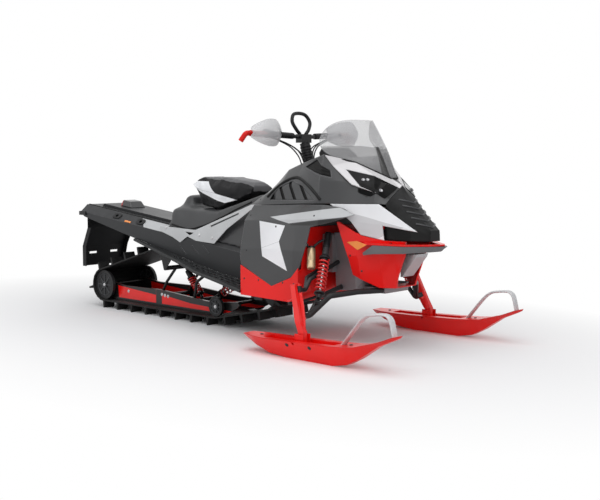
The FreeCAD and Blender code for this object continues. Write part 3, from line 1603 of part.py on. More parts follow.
def make_guard():
    sections = []
    for forward, across, tall in guard_rows_shares:
        x = guard_x + forward * guard_reach
        y = across * bar_half_width
        half = 0.5 * tall * guard_height
        z = grip_z
        sections.append([(x, y, z - half), (x + guard_thickness, y, z - half), (x + guard_thickness, y, z + half),
                         (x, y, z + half)])
    stem_y = 0.545 * bar_half_width
    stem = cylinder((guard_x - bar_radius, stem_y, grip_z - 0.5 * bar_rise),
                    (guard_x + 0.62 * guard_reach, stem_y, grip_z), lever_radius)
    return fused([loft(sections), stem]).cut(bar).cut(control)


keep("hand_guards", *pair(make_guard()))

ring_route_shares = [(0.0, 0.20, 0.06), (-0.11, 0.50, 0.33), (-0.27, 0.36, 0.92)]


def make_ring():
    x = post_high[0] - ring_radius
    base = bar_crown_z + 1.3 * bar_radius
    half = [(x + back * ring_height, across * ring_width, base + up * ring_height) for back, across, up in ring_route_shares]
    foot = (half[0][0], half[0][1], base + seam)
    half = [foot] + half[1:]
    points = half + [(px, -py, pz) for px, py, pz in reversed(half)]
    return bent_tube(points, ring_radius, 3.5 * ring_radius)


keep("grab_ring", make_ring().cut(nodes["handlebar"][0]))


def main():
    os.makedirs("parts", exist_ok=True)
    for name, shapes in nodes.items():
        shape = shapes[0] if len(shapes) == 1 else Part.makeCompound(shapes)
        shape.exportStep("parts/" + name + ".step")
        print(name, len(shape.Solids), shape.isValid(), round(shape.Volume / 1000.0, 1))


main()
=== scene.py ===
"""Snowmobile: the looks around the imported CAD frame.

Everything is in metres in the CAD frame: +X forwards to the ski tips, +Y to the rider's left, +Z up.
"""

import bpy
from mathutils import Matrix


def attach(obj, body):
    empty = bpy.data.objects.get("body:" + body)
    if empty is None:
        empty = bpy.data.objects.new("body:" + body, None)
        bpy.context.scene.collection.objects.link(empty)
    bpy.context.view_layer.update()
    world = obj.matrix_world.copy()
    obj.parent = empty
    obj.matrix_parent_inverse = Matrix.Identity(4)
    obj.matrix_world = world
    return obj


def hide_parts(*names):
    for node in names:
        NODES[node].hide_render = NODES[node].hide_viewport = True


bl_info = {
    "name": "Snowmobile",
    "version": (1, 0, 0),
    "blender": (4, 5, 0),
    "location": "View3D > Sidebar > Snowmobile",
    "description": "Dresses the packed snowmobile: finishes, padded seat, coil springs, fasteners and stage",
    "category": "Object",
}

import math

import bmesh
import bpy
from bpy.props import FloatProperty, FloatVectorProperty, IntProperty, PointerProperty
from mathutils import Matrix, Vector
from mathutils.bvhtree import BVHTree

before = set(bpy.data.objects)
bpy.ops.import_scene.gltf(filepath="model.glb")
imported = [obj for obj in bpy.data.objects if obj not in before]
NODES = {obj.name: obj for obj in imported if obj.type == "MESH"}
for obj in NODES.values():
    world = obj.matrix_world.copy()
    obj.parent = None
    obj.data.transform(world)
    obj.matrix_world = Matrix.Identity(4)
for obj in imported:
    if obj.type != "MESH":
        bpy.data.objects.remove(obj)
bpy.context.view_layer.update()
PANEL_TAB = "Snowmobile"
BOTH = (-1, 1)


def colour_property(name, description, default):
    return FloatVectorProperty(name=name, description=description, subtype="COLOR", size=3, min=0.0, max=1.0,
                               default=default)


def length_property(name, description, default):
    return FloatProperty(name=name, description=description, subtype="DISTANCE", unit="LENGTH", min=0.0,
                         default=default)


class BodyworkSettings(bpy.types.PropertyGroup):
    """Colours of the bodywork"""
    charcoal: colour_property("Charcoal", "Side panels, hood and seat base", (0.040, 0.041, 0.043))
    black: colour_property("Black", "Nose, grille and trim", (0.012, 0.012, 0.013))
    red: colour_property("Red", "Belly pan, spindles and skis", (0.80, 0.008, 0.006))
    white: colour_property("White", "Side graphics and nose panels", (0.78, 0.79, 0.81))
    silver: colour_property("Silver", "Tunnel edge and braces", (0.48, 0.49, 0.50))
    grey: colour_property("Grey", "Bumper and lower nose panels", (0.14, 0.145, 0.15))


class SeatSettings(bpy.types.PropertyGroup):
    """The padded seat"""
    inset: length_property("Inset", "How much smaller than its solid the cushion starts", 0.006)
    swell: length_property("Swell", "The furthest that the cover may move under its pressure", 0.009)
    voxel: length_property("Voxel", "Grid of the cushion's remesh", 0.0055)
    pressure: FloatProperty(name="Pressure", description="Cloth pressure in the cushion", default=4.0,
                            min=0.0)
    cover: colour_property("Cover", "Vinyl of the seat's sides", (0.010, 0.010, 0.011))
    top: colour_property("Top", "Vinyl of the seat's top", (0.13, 0.13, 0.135))


class RunningGearSettings(bpy.types.PropertyGroup):
    """Springs, wheels and fasteners"""
    front_turns: FloatProperty(name="Front turns", description="Turns of each front coil spring", default=8.5,
                               min=2.0)
    front_wire: length_property("Front wire", "Radius of the front springs' wire", 0.0052)
    skid_turns: FloatProperty(name="Skid turns", description="Turns of each skid coil spring", default=7.5,
                              min=2.0)
    skid_wire: length_property("Skid wire", "Radius of the skid springs' wire", 0.0048)
    spokes: IntProperty(name="Spokes", description="Spokes of each idler wheel", default=8, min=3)
    bolt_radius: length_property("Bolt radius", "Half width of a bolt's hexagon", 0.0075)
    rivet_radius: length_property("Rivet radius", "Radius of a rivet's head", 0.0055)


class StageSettings(bpy.types.PropertyGroup):
    """Floor, light and camera"""
    floor_size: length_property("Floor size", "Side of the studio floor", 60.0)
    lens: FloatProperty(name="Lens", description="Focal length on a 36 mm sensor, in mm", default=58.2,
                        min=10.0)
    eye: FloatVectorProperty(name="Camera place", description="Where the camera stands", subtype="XYZ",
                             unit="LENGTH", size=3, default=(4.133, -4.075, 0.994))
    azimuth: FloatProperty(name="Azimuth", description="Camera azimuth", subtype="ANGLE",
                           default=math.radians(42.59))
    elevation: FloatProperty(name="Elevation", description="Camera elevation", subtype="ANGLE",
                             default=math.radians(5.33))
    key_power: FloatProperty(name="Key light", description="Power of the large overhead light, in W",
                             default=165.0)
    fill_power: FloatProperty(name="Fill light", description="Power of the fill lights, in W", default=46.0)


class Wiring:
    """Adds nodes to a tree and links them, so that a finish reads as a short recipe."""

    def __init__(self, tree):
        self.tree = tree

    def put(self, kind, *feeds, **values):
        """Adds a node. Capitalised words name inputs, with _ for a space; the others are its settings."""
        node = self.tree.nodes.new(kind)
        for key, value in values.items():
            if key[0].islower():
                setattr(node, key, value)
        named = [(key.replace("_", " "), value) for key, value in values.items() if key[0].isupper()]
        for place, value in list(enumerate(feeds)) + named:
            if value is not None:
                self.feed(node.inputs[place], value)
        return node

    def feed(self, socket, value):
        """Links a socket, or the first output of a node, to an input, or sets the input's own value."""
        if isinstance(value, bpy.types.Node):
            value = value.outputs[0]
        if isinstance(value, bpy.types.NodeSocket):
            self.tree.links.new(value, socket)
        else:
            socket.default_value = value

    def sum(self, operation, first, second=None, third=None, clamp=False):
        return self.put("ShaderNodeMath", first, second, third, operation=operation, use_clamp=clamp)

    def dot(self, first, second):
        return self.put("ShaderNodeVectorMath", first, second, operation="DOT_PRODUCT").outputs["Value"]

    def noise(self, vector, scale, detail=2.0, roughness=0.5):
        return self.put("ShaderNodeTexNoise", Vector=vector, Scale=scale, Detail=detail,
                        Roughness=roughness).outputs["Fac"]

    def ramp(self, value, low, high, start=0.0, end=1.0):
        return self.put("ShaderNodeMapRange", Value=value, From_Min=low, From_Max=high, To_Min=start,
                        To_Max=end).outputs["Result"]

    def mix(self, amount, first, second):
        colours = [None] * 5 + [first, second]
        return self.put("ShaderNodeMix", amount, *colours, data_type="RGBA").outputs[2]

    def place(self):
        return self.put("ShaderNodeTexCoord").outputs["Object"]

    def folded_place(self):
        """The place with its y made positive, so that a pattern is the same on both sides."""
        parts = self.put("ShaderNodeSeparateXYZ", self.place()).outputs
        return self.put("ShaderNodeCombineXYZ", parts["X"], self.sum("ABSOLUTE", parts["Y"]), parts["Z"])

    def group(self, name, **values):
        return self.put("ShaderNodeGroup", node_tree=GROUPS[name], **values)


def bare_wiring(holder):
    """The wiring of a material or world, cleared of its first nodes."""
    holder.use_nodes = True
    holder.node_tree.nodes.clear()
    return Wiring(holder.node_tree)


def new_tree(kind, name, numbers, inputs, outputs):
    """A tree's wiring, the sockets it starts from and those it ends in. numbers are inputs with defaults."""
    tree = bpy.data.node_groups.new(name, kind)
    for way, sockets in (("INPUT", inputs), ("OUTPUT", outputs)):
        for label, socket_kind in sockets.items():
            tree.interface.new_socket(name=label, in_out=way, socket_type="NodeSocket" + socket_kind)
    for label, default in numbers.items():
        socket = tree.interface.new_socket(name=label, in_out="INPUT", socket_type="NodeSocketFloat")
        socket.default_value = default
    w = Wiring(tree)
    return w, w.put("NodeGroupInput").outputs, w.put("NodeGroupOutput").inputs


# Shader node groups: effects that more than one finish uses
GROUPS = {}


def new_group(name, numbers, **outputs):
    return new_tree("ShaderNodeTree", name, numbers, {}, outputs)


def make_grain_group():
    """Moulded grain: a height for the bump and a slow drift of colour and gloss."""
    w, start, end = new_group("Moulded grain", {"Scale": 900.0, "Drift": 3.0}, Height="Float", Drift="Float")
    spot = w.place()
    cells = w.put("ShaderNodeTexVoronoi", Vector=spot, Scale=start["Scale"])
    w.feed(end["Height"], cells.outputs["Distance"])
    w.feed(end["Drift"], w.noise(spot, start["Drift"], 3.0))
    return w.tree


def make_soft_edge_group():
    """Rounds the light on sharp edges and gives a mask of where they are, for worn paint and painted edge
    highlights.
    """
    w, start, end = new_group("Soft edge", {"Radius": 0.003}, Normal="Vector", Edge="Float")
    bevel = w.put("ShaderNodeBevel", samples=4, Radius=start["Radius"])
    near = w.dot(bevel, w.put("ShaderNodeNewGeometry").outputs["Normal"])
    w.feed(end["Normal"], bevel)
    w.feed(end["Edge"], w.ramp(near, 0.995, 0.90))
    return w.tree


def make_scuff_group():
    """Fine scratches and dull patches, as handling leaves them."""
    w, start, end = new_group("Scuffs", {"Scale": 14.0, "Amount": 0.2}, Mask="Float")
    spot = w.place()
    drawn = w.put("ShaderNodeMapping", Vector=spot, Rotation=(0.3, 0.5, 0.9), Scale=(1.0, 9.0, 1.0))
    line = w.ramp(w.noise(drawn, start["Scale"], 6.0, 0.7), 0.56, 0.66)
    patch = w.ramp(w.noise(spot, 4.0, 3.0), 0.45, 0.62)
    w.feed(end["Mask"], w.sum("MULTIPLY", w.sum("MULTIPLY", line, patch), start["Amount"]))
    return w.tree


def make_brushed_group():
    """Brushed or rolled sheet metal, its lines along X."""
    w, start, end = new_group("Brushed lines", {"Scale": 260.0}, Height="Float")
    drawn = w.put("ShaderNodeMapping", Vector=w.place(), Scale=(0.03, 1.0, 1.0))
    w.feed(end["Height"], w.noise(drawn, start["Scale"], 4.0, 0.6))
    return w.tree


def make_dust_group():
    """Fine dust that settles on what faces up."""
    w, start, end = new_group("Settled dust", {"Amount": 0.15}, Mask="Float")
    facing = w.put("ShaderNodeSeparateXYZ", w.put("ShaderNodeNewGeometry").outputs["Normal"]).outputs["Z"]
    cloud = w.ramp(w.noise(w.place(), 9.0, 5.0, 0.6), 0.42, 0.75)
    mask = w.sum("MULTIPLY", w.ramp(facing, 0.2, 1.0), cloud)
    w.feed(end["Mask"], w.sum("MULTIPLY", mask, start["Amount"]))
    return w.tree


# Finishes
FINISHES = {}
DUST = (0.55, 0.56, 0.58, 1.0)
BUMP_DEPTH = 0.0004
EDGE_BLEND = 0.0008


def rgba(colour):
    return (colour[0], colour[1], colour[2], 1.0)


def convex_mask(w, spot, axes, corners):
    """1 inside a convex outline seen along one axis. axes names the two coordinates the corners are in."""
    columns = {"x": Vector((1, 0, 0)), "y": Vector((0, 1, 0)), "z": Vector((0, 0, 1))}
    across, up = columns[axes[0]], columns[axes[1]]
    turn = sum(a[0] * b[1] - b[0] * a[1] for a, b in zip(corners, corners[1:] + corners[:1]))
    corners = corners if turn > 0 else corners[::-1]
    inside = None
    for a, b in zip(corners, corners[1:] + corners[:1]):
        edge = Vector((b[0] - a[0], b[1] - a[1])).normalized()
        inward = across * -edge.y + up * edge.x
        offset = -edge.y * a[0] + edge.x * a[1]
        distance = w.sum("SUBTRACT", w.dot(spot, tuple(inward)), offset)
        inside = distance if inside is None else w.sum("MINIMUM", inside, distance)
    return w.ramp(inside, 0.0, EDGE_BLEND)


def patchwork(w, base, patches):
    """Lays painted patches over a base colour. A patch is (axes, corners, colour)."""
    spot = w.folded_place()
    colour = base
    for axes, corners, paint in patches:
        colour = w.mix(convex_mask(w, spot, axes, corners), colour, rgba(paint))
    return colour


def new_finish(name, colour):
    """The wiring of an empty material."""
    made = FINISHES[name] = bpy.data.materials.new(name)
    made.diffuse_color = rgba(colour)
    return bare_wiring(made)


def scuffed(w, roughness, amount):
    return w.sum("ADD", w.group("scuffs", Amount=amount), roughness, clamp=True)


def finish(name, colour, roughness, metallic=0.0, coat=0.0, grain=0.0, grain_scale=900.0, edge=0.0025,
           scuff=0.12, dust=0.05, drift=0.10, brushed=0.0, patches=(), specular=0.5, edge_wear_and_highlight=None, zone=None):
    """A painted, moulded or metal finish. edge_wear_and_highlight colours edges as wear and painted
    highlight; zone is (attribute, colour) of a part.
    """
    w = new_finish(name, colour)
    texture = w.group("grain", Scale=grain_scale).outputs
    paint = patchwork(w, rgba(colour), patches) if patches else rgba(colour)
    if zone is not None:
        mark = w.put("ShaderNodeAttribute", attribute_name=zone[0]).outputs["Fac"]
        paint = w.mix(w.ramp(mark, 0.45, 0.55), paint, rgba(zone[1]))
    tone = w.ramp(texture["Drift"], 0.3, 0.7, 1.0 - drift, 1.0 + drift)
    paint = w.put("ShaderNodeHueSaturation", Color=paint, Value=tone)
    edges = w.group("edge", Radius=edge or 0.0005).outputs
    # Lighter edges: a painted highlight along ridges, and partly edge wear
    if edge_wear_and_highlight is not None:
        paint = w.mix(w.sum("MULTIPLY", edges["Edge"], 0.5), paint, rgba(edge_wear_and_highlight))
    if dust:
        paint = w.mix(w.group("dust", Amount=dust), paint, DUST)
    normal = edges["Normal"] if edge else None
    if grain or brushed:
        height = w.group("brushed") if brushed else texture["Height"]
        normal = w.put("ShaderNodeBump", Strength=grain or brushed, Distance=BUMP_DEPTH, Height=height,
                       Normal=normal)
    shader = w.put("ShaderNodeBsdfPrincipled", Metallic=metallic, Specular_IOR_Level=specular,
                   Coat_Weight=coat, Coat_Roughness=0.06, Base_Color=paint,
                   Roughness=scuffed(w, roughness, scuff), Normal=normal)
    w.put("ShaderNodeOutputMaterial", shader)


def glass_finish(name, colour, roughness, alpha, bands=()):
    """A tinted or clear plastic that is seen through. bands are (axes, corners, colour, alpha)."""
    w = new_finish(name, colour)
    drift = w.ramp(w.noise(w.place(), 3.0, 2.0), 0.35, 0.7)
    tint = w.mix(drift, rgba(colour), rgba([c * 0.88 for c in colour]))
    opacity = alpha
    spot = w.folded_place()
    for axes, corners, paint, strength in bands:
        mask = convex_mask(w, spot, axes, corners)
        tint = w.mix(mask, tint, rgba(paint))
        opacity = w.sum("MULTIPLY_ADD", mask, w.sum("SUBTRACT", strength, opacity), opacity)
    shader = w.put("ShaderNodeBsdfPrincipled", IOR=1.45, Base_Color=tint,
                   Roughness=scuffed(w, roughness, 0.15), Alpha=opacity)
    w.put("ShaderNodeOutputMaterial", shader)


# Mesh helpers
def new_piece(name, mesh, finish_name, body, node=None):
    """Puts a mesh in the scene as a piece of a body, in place of a CAD node if one is named."""
    piece = bpy.data.objects.new(name, mesh)
    mesh.name = name
    bpy.context.scene.collection.objects.link(piece)
    mesh.materials.clear()
    mesh.materials.append(FINISHES[finish_name])
    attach(piece, body)
    if node is not None:
        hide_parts(node)
    return piece


def mesh_of(shape):
    """A mesh out of a bmesh, which is freed."""
    mesh = bpy.data.meshes.new("shape")
    shape.to_mesh(mesh)
    shape.free()
    return mesh


def mesh_from(build):
    shape = bmesh.new()
    build(shape)
    bmesh.ops.recalc_face_normals(shape, faces=shape.faces)
    return mesh_of(shape)


def smooth(mesh, angle=math.radians(35)):
    for face in mesh.polygons:
        face.use_smooth = True
    mesh.set_sharp_from_angle(angle=angle)
    return mesh


def built_piece(name, build, finish_name, body, node=None):
    """A piece whose bmesh a function fills."""
    return new_piece(name, smooth(mesh_from(build)), finish_name, body, node)


def joined(meshes):
    """One mesh out of several of the same finish."""
    shape = bmesh.new()
    for mesh in meshes:
        shape.from_mesh(mesh)
    return mesh_of(shape)


def holder_of(mesh):
    holder = bpy.data.objects.new("holder", mesh)
    bpy.context.scene.collection.objects.link(holder)
    return holder


def modify(holder, kind, **settings):
    modifier = holder.modifiers.new(kind, kind)
    for key, value in settings.items():
        setattr(modifier, key, value)
    return modifier


def applied(holder):
    """The plain mesh that an object's modifiers make. The modifiers go."""
    made = bpy.data.meshes.new_from_object(holder.evaluated_get(bpy.context.evaluated_depsgraph_get()))
    holder.modifiers.clear()
    return made


def plain_mesh(holder):
    """The same for a holder that isn't needed any more."""
    made = applied(holder)
    bpy.data.objects.remove(holder)
    return made


def rounded(mesh, width):
    """Rounds the edges of a closed mesh and returns the new mesh."""
    holder = holder_of(mesh)
    modify(holder, "BEVEL", width=width, segments=2, limit_method="ANGLE", angle_limit=math.radians(28),
           harden_normals=True)
    return plain_mesh(holder)


def node_copy(node, flat=True):
    """A CAD node's mesh with its doubles merged and, if flat, its flat faces joined."""
    shape = bmesh.new()
    shape.from_mesh(NODES[node].data)
    bmesh.ops.remove_doubles(shape, verts=shape.verts, dist=1e-5)
    if flat:
        bmesh.ops.dissolve_limit(shape, angle_limit=math.radians(0.5), verts=shape.verts, edges=shape.edges)
    else:
        bmesh.ops.recalc_face_normals(shape, faces=shape.faces)
    return mesh_of(shape)


def turn_steps(sides):
    return [2 * math.pi * k / sides for k in range(sides)]


def square_to(along):
    """A direction square to another one."""
    helper = Vector((0, 0, 1)) if abs(along.z) < 0.9 else Vector((1, 0, 0))
    return along.cross(helper).normalized()


def ring(shape, middle, across, up, sides):
    """A ring of corners round a middle: across and up are its two half axes."""
    return [shape.verts.new(middle + across * math.cos(t) + up * math.sin(t)) for t in turn_steps(sides)]


def skin(shape, rings):
    """Joins rings of corners by faces and closes both ends."""
    for near, far in zip(rings, rings[1:]):
        count = len(near)
        for k in range(count):
            shape.faces.new((near[k], near[(k + 1) % count], far[(k + 1) % count], far[k]))
    shape.faces.new(rings[0][::-1])
    shape.faces.new(rings[-1])


def sweep(shape, path, radius, sides=12, flat=1.0):
    """Adds a tube along points to a bmesh. flat squeezes it across its side direction."""
    path = [Vector(p) for p in path]
    rings = []
    last = len(path) - 1
    side = None
    for i, spot in enumerate(path):
        along = (path[min(i + 1, last)] - path[max(i - 1, 0)]).normalized()
        side = square_to(along) if side is None else (side - along * side.dot(along)).normalized()
        rings.append(ring(shape, spot, side * radius, along.cross(side) * (radius * flat), sides))
    skin(shape, rings)


def lathe(shape, start, end, profile, sides=24):
    """Adds a turned shape to a bmesh: profile is (distance, radius) from start towards end."""
    start, end = Vector(start), Vector(end)
    along = (end - start).normalized()
    side = square_to(along)
    up = along.cross(side)
    skin(shape, [ring(shape, start + along * distance, side * radius, up * radius, sides)
                 for distance, radius in profile])


def prism(shape, outline, offset):
    """Adds a prism to a bmesh: an outline of points, and the vector it is pushed along."""
    offset = Vector(offset)
    skin(shape, [[shape.verts.new(Vector(p) + push) for p in outline] for push in (offset * 0, offset)])


def mirrored(points, side):
    return [(x, side * y, z) for x, y, z in points]


def between(start, end, share):
    return Vector(start).lerp(Vector(end), share)


def length_of(start, end):
    return (Vector(end) - Vector(start)).length


def flowing(points, steps=6):
    """Points of a smooth line through the given ones (Catmull-Rom)."""
    pts = [Vector(p) for p in points]
    pts = [pts[0] * 2 - pts[1]] + pts + [pts[-1] * 2 - pts[-2]]
    line = []
    for a, b, c, d in zip(pts, pts[1:], pts[2:], pts[3:]):
        for k in range(steps):
            t = k / steps
            line.append(0.5 * (2 * b + (c - a) * t + (2 * a - 5 * b + 4 * c - d) * t * t
                               + (3 * b - a - 3 * c + d) * t ** 3))
    return line + [pts[-2]]


def spread(points, count):
    """Evenly shared points along a line of a few points."""
    made = []
    for k in range(count):
        at = k * (len(points) - 1) / (count - 1)
        first = min(int(at), len(points) - 2)
        made.append(points[first].lerp(points[first + 1], at - first))
    return made


SKINS = {}


def on_surface(node, start, direction):
    """Where a ray first meets the surface of a node, or of several joined by +, and how it faces there."""
    if node not in SKINS:
        shape = bmesh.new()
        for name in node.split("+"):
            shape.from_mesh(NODES[name].data)
        SKINS[node] = BVHTree.FromBMesh(shape)
        shape.free()
    place, facing = SKINS[node].ray_cast(Vector(start), Vector(direction).normalized())[:2]
    if place is None:
        raise RuntimeError("the ray from " + str(start) + " misses " + node)
    return place, facing


def aimed_points(spots):
    """A seed mesh of loose points, each with the direction that its head faces."""
    mesh = bpy.data.meshes.new("seed")
    mesh.from_pydata([tuple(place) for place, aim in spots], [], [])
    aims = mesh.attributes.new("aim", "FLOAT_VECTOR", "POINT")
    for k, (place, aim) in enumerate(spots):
        aims.data[k].vector = Vector(aim).normalized()
    return mesh


# Geometry Nodes: trees with named inputs, run once and kept as plain meshes
RECIPES = {}


def new_recipe(name, numbers):
    return new_tree("GeometryNodeTree", name, numbers, {"Geometry": "Geometry", "Material": "Material"},
                    {"Geometry": "Geometry"})


def close_recipe(w, start, end, geometry):
    """Ends a tree in Realize Instances and Set Material."""
    solid = w.put("GeometryNodeRealizeInstances", geometry)
    w.feed(end["Geometry"], w.put("GeometryNodeSetMaterial", Geometry=solid, Material=start["Material"]))
    return w.tree


def run_recipe(name, seed, finish_name, **values):
    """Runs a recipe on a seed mesh and returns what it makes as a plain mesh."""
    tree = RECIPES[name]
    holder = holder_of(seed)
    modifier = modify(holder, "NODES", node_group=tree)
    values["Material"] = FINISHES[finish_name]
    for item in tree.interface.items_tree:
        if item.item_type == "SOCKET" and item.in_out == "INPUT" and item.name in values:
            modifier[item.identifier] = values[item.name]
    return plain_mesh(holder)


def swept_round(w, start, end, line, sides, radius):
    """Ends a tree in a smooth tube along a curve."""
    round_profile = w.put("GeometryNodeCurvePrimitiveCircle", Resolution=sides, Radius=radius)
    tube = w.put("GeometryNodeCurveToMesh", Curve=line, Profile_Curve=round_profile, Fill_Caps=True)
    return close_recipe(w, start, end, w.put("GeometryNodeSetShadeSmooth", tube))


def make_coil_recipe():
    """A coil spring up the Z axis."""
    w, start, end = new_recipe("Coil spring", {"Turns": 8.0, "Radius": 0.02, "Height": 0.2, "Wire": 0.004})
    spiral = w.put("GeometryNodeCurveSpiral", Resolution=22, Rotations=start["Turns"],
                   Start_Radius=start["Radius"], End_Radius=start["Radius"], Height=start["Height"])
    return swept_round(w, start, end, spiral, 8, start["Wire"])


# Layers of a bolt's head with its washer, and of a rivet's head
BOLT_LAYERS = ((1.45, 1.40, -0.10, 0.35, 20), (1.0, 1.0, 0.20, 0.60, 6), (1.0, 0.86, 0.80, 0.15, 6))
RIVET_LAYERS = ((1.0, 0.90, -0.10, 0.40, 12), (0.90, 0.55, 0.30, 0.30, 12))


def make_head_recipe(name, layers):
    """A head on every point of the seed mesh, its Z along the point's aim.

    It is cones one above the other: shares of the radius below and above, shares of the height for lift
    and depth, and the number of sides.
    """
    w, start, end = new_recipe(name, {"Radius": 0.007, "Height": 0.005})
    head = w.put("GeometryNodeJoinGeometry")
    for below, above, lift, depth, sides in layers:
        wide, narrow = (w.sum("MULTIPLY", start["Radius"], share) for share in (below, above))
        tall, raised = (w.sum("MULTIPLY", start["Height"], share) for share in (depth, lift))
        cone = w.put("GeometryNodeMeshCone", Vertices=sides, Radius_Bottom=wide, Radius_Top=narrow,
                     Depth=tall)
        up = w.put("ShaderNodeCombineXYZ", 0.0, 0.0, raised)
        w.feed(head.inputs[0], w.put("GeometryNodeTransform", Geometry=cone, Translation=up))
    aim = w.put("GeometryNodeInputNamedAttribute", data_type="FLOAT_VECTOR", Name="aim")
    turn = w.put("FunctionNodeAlignRotationToVector", axis="Z", Vector=aim.outputs["Attribute"])
    heads = w.put("GeometryNodeInstanceOnPoints", Points=start["Geometry"], Instance=head, Rotation=turn)
    return close_recipe(w, start, end, heads)


def make_slat_recipe():
    """A flat bar along every line of the seed mesh, its broad side upright."""
    w, start, end = new_recipe("Slats", {"Width": 0.010, "Depth": 0.005})
    lines = w.put("GeometryNodeMeshToCurve", start["Geometry"])
    upright = w.put("GeometryNodeSetCurveNormal", mode="Z_UP", Curve=lines)
    bar = w.put("GeometryNodeCurvePrimitiveQuadrilateral", Width=start["Depth"], Height=start["Width"])
    slat = w.put("GeometryNodeCurveToMesh", Curve=upright, Profile_Curve=bar, Fill_Caps=True)
    return close_recipe(w, start, end, slat)


def make_tube_recipe():
    """A round tube along every line of the seed mesh."""
    w, start, end = new_recipe("Tubes", {"Radius": 0.004})
    lines = w.put("GeometryNodeMeshToCurve", start["Geometry"])
    return swept_round(w, start, end, lines, 10, start["Radius"])


def seed_lines(paths):
    """A seed mesh of open lines."""
    mesh = bpy.data.meshes.new("seed")
    places, edges = [], []
    for path in paths:
        edges += [(len(places) + k, len(places) + k + 1) for k in range(len(path) - 1)]
        places += [tuple(p) for p in path]
    mesh.from_pydata(places, edges, [])
    return mesh


def line_piece(name, recipe, lines, finish_name, body, **values):
    """A piece of bars or tubes along lines of points."""
    mesh = run_recipe(recipe, seed_lines(lines), finish_name, **values)
    return new_piece(name, mesh, finish_name, body)


# Finishes of the whole machine. Patches are seen along one axis: (axes, corners in metres, colour)
PATCH_BLACK = (0.008, 0.008, 0.008)
RAIL_BLACK = (0.012, 0.012, 0.012)
LENS_RED = (0.40, 0.005, 0.005)
# The screen: its lower part is tinted darker, and a dark band of painted shade runs down beside its front
# fold
SCREEN_BANDS = [
    ("yz", [(-0.01, 0.85), (0.30, 0.85), (0.30, 1.062), (0.10, 1.066), (-0.01, 1.046)],
     (0.26, 0.26, 0.265), 0.60),
    # Painted shade beside the front fold
    ("yz", [(0.026, 0.880), (0.060, 0.900), (0.046, 1.060), (0.033, 1.060)], (0.03, 0.03, 0.03), 0.88)]
# Hood: black below the headlamps
HOOD_PATCHES = [("xy", [(0.951, 0.140), (1.16, 0.0), (1.16, 0.06), (1.085, 0.138), (1.022, 0.186),
                        (0.970, 0.200)], PATCH_BLACK)]
# Nose panels: light grey painted shade on their lower part, below the crease
NOSE_PANEL_SHADE = [("xz", [(0.86, 0.745), (1.03, 0.703), (1.21, 0.650), (1.06, 0.575), (0.96, 0.590)],
                       (0.56, 0.56, 0.575))]
# The pale strip on the tunnel's shoulder
TUNNEL_STRIP = [(-0.83, 0.1715), (-0.56, 0.1715), (-0.56, 0.2212), (-0.76, 0.2212)]
# Side panels: a silver stripe over a black wedge of painted shade, and two white plates
STRIPE = [(0.497, 0.688), (0.916, 0.749), (1.015, 0.709), (0.653, 0.660)]
SHADE_WEDGE = [(0.655, 0.656), (1.015, 0.706), (1.015, 0.66), (0.83, 0.655), (0.72, 0.640)]
PLATES = [[(0.431, 0.665), (0.627, 0.648), (0.590, 0.562), (0.462, 0.520)],
          [(0.462, 0.520), (0.590, 0.562), (0.653, 0.409), (0.469, 0.476)]]
# The white side accents of the seat cover
SEAT_ACCENTS = [[(-0.410, 0.864), (-0.265, 0.862), (-0.167, 0.793), (-0.381, 0.818)],
                [(-0.381, 0.818), (-0.167, 0.793), (-0.007, 0.756), (-0.101, 0.736)]]
# Slide rails: black wear strip along the bottom, black ends and joint band, and black above the red faces
RAIL_AREAS = [[(-1.30, 0.0), (0.10, 0.0), (0.10, 0.076), (-1.30, 0.076)],
              [(-1.40, 0.0), (-1.115, 0.0), (-1.150, 0.3), (-1.40, 0.3)],
              [(-0.735, 0.0), (-0.675, 0.0), (-0.675, 0.3), (-0.735, 0.3)],
              [(-1.16, 0.156), (-0.90, 0.138), (-0.735, 0.126), (-0.735, 0.3), (-1.16, 0.3)],
              [(-0.675, 0.134), (-0.40, 0.105), (0.10, 0.090), (0.10, 0.3), (-0.675, 0.3)]]
TAIL_LENS = [(-1.30, 0.60), (-1.187, 0.60), (-1.187, 0.80), (-1.30, 0.80)]


def from_side(areas, colour):
    return [("xz", corners, colour) for corners in areas]


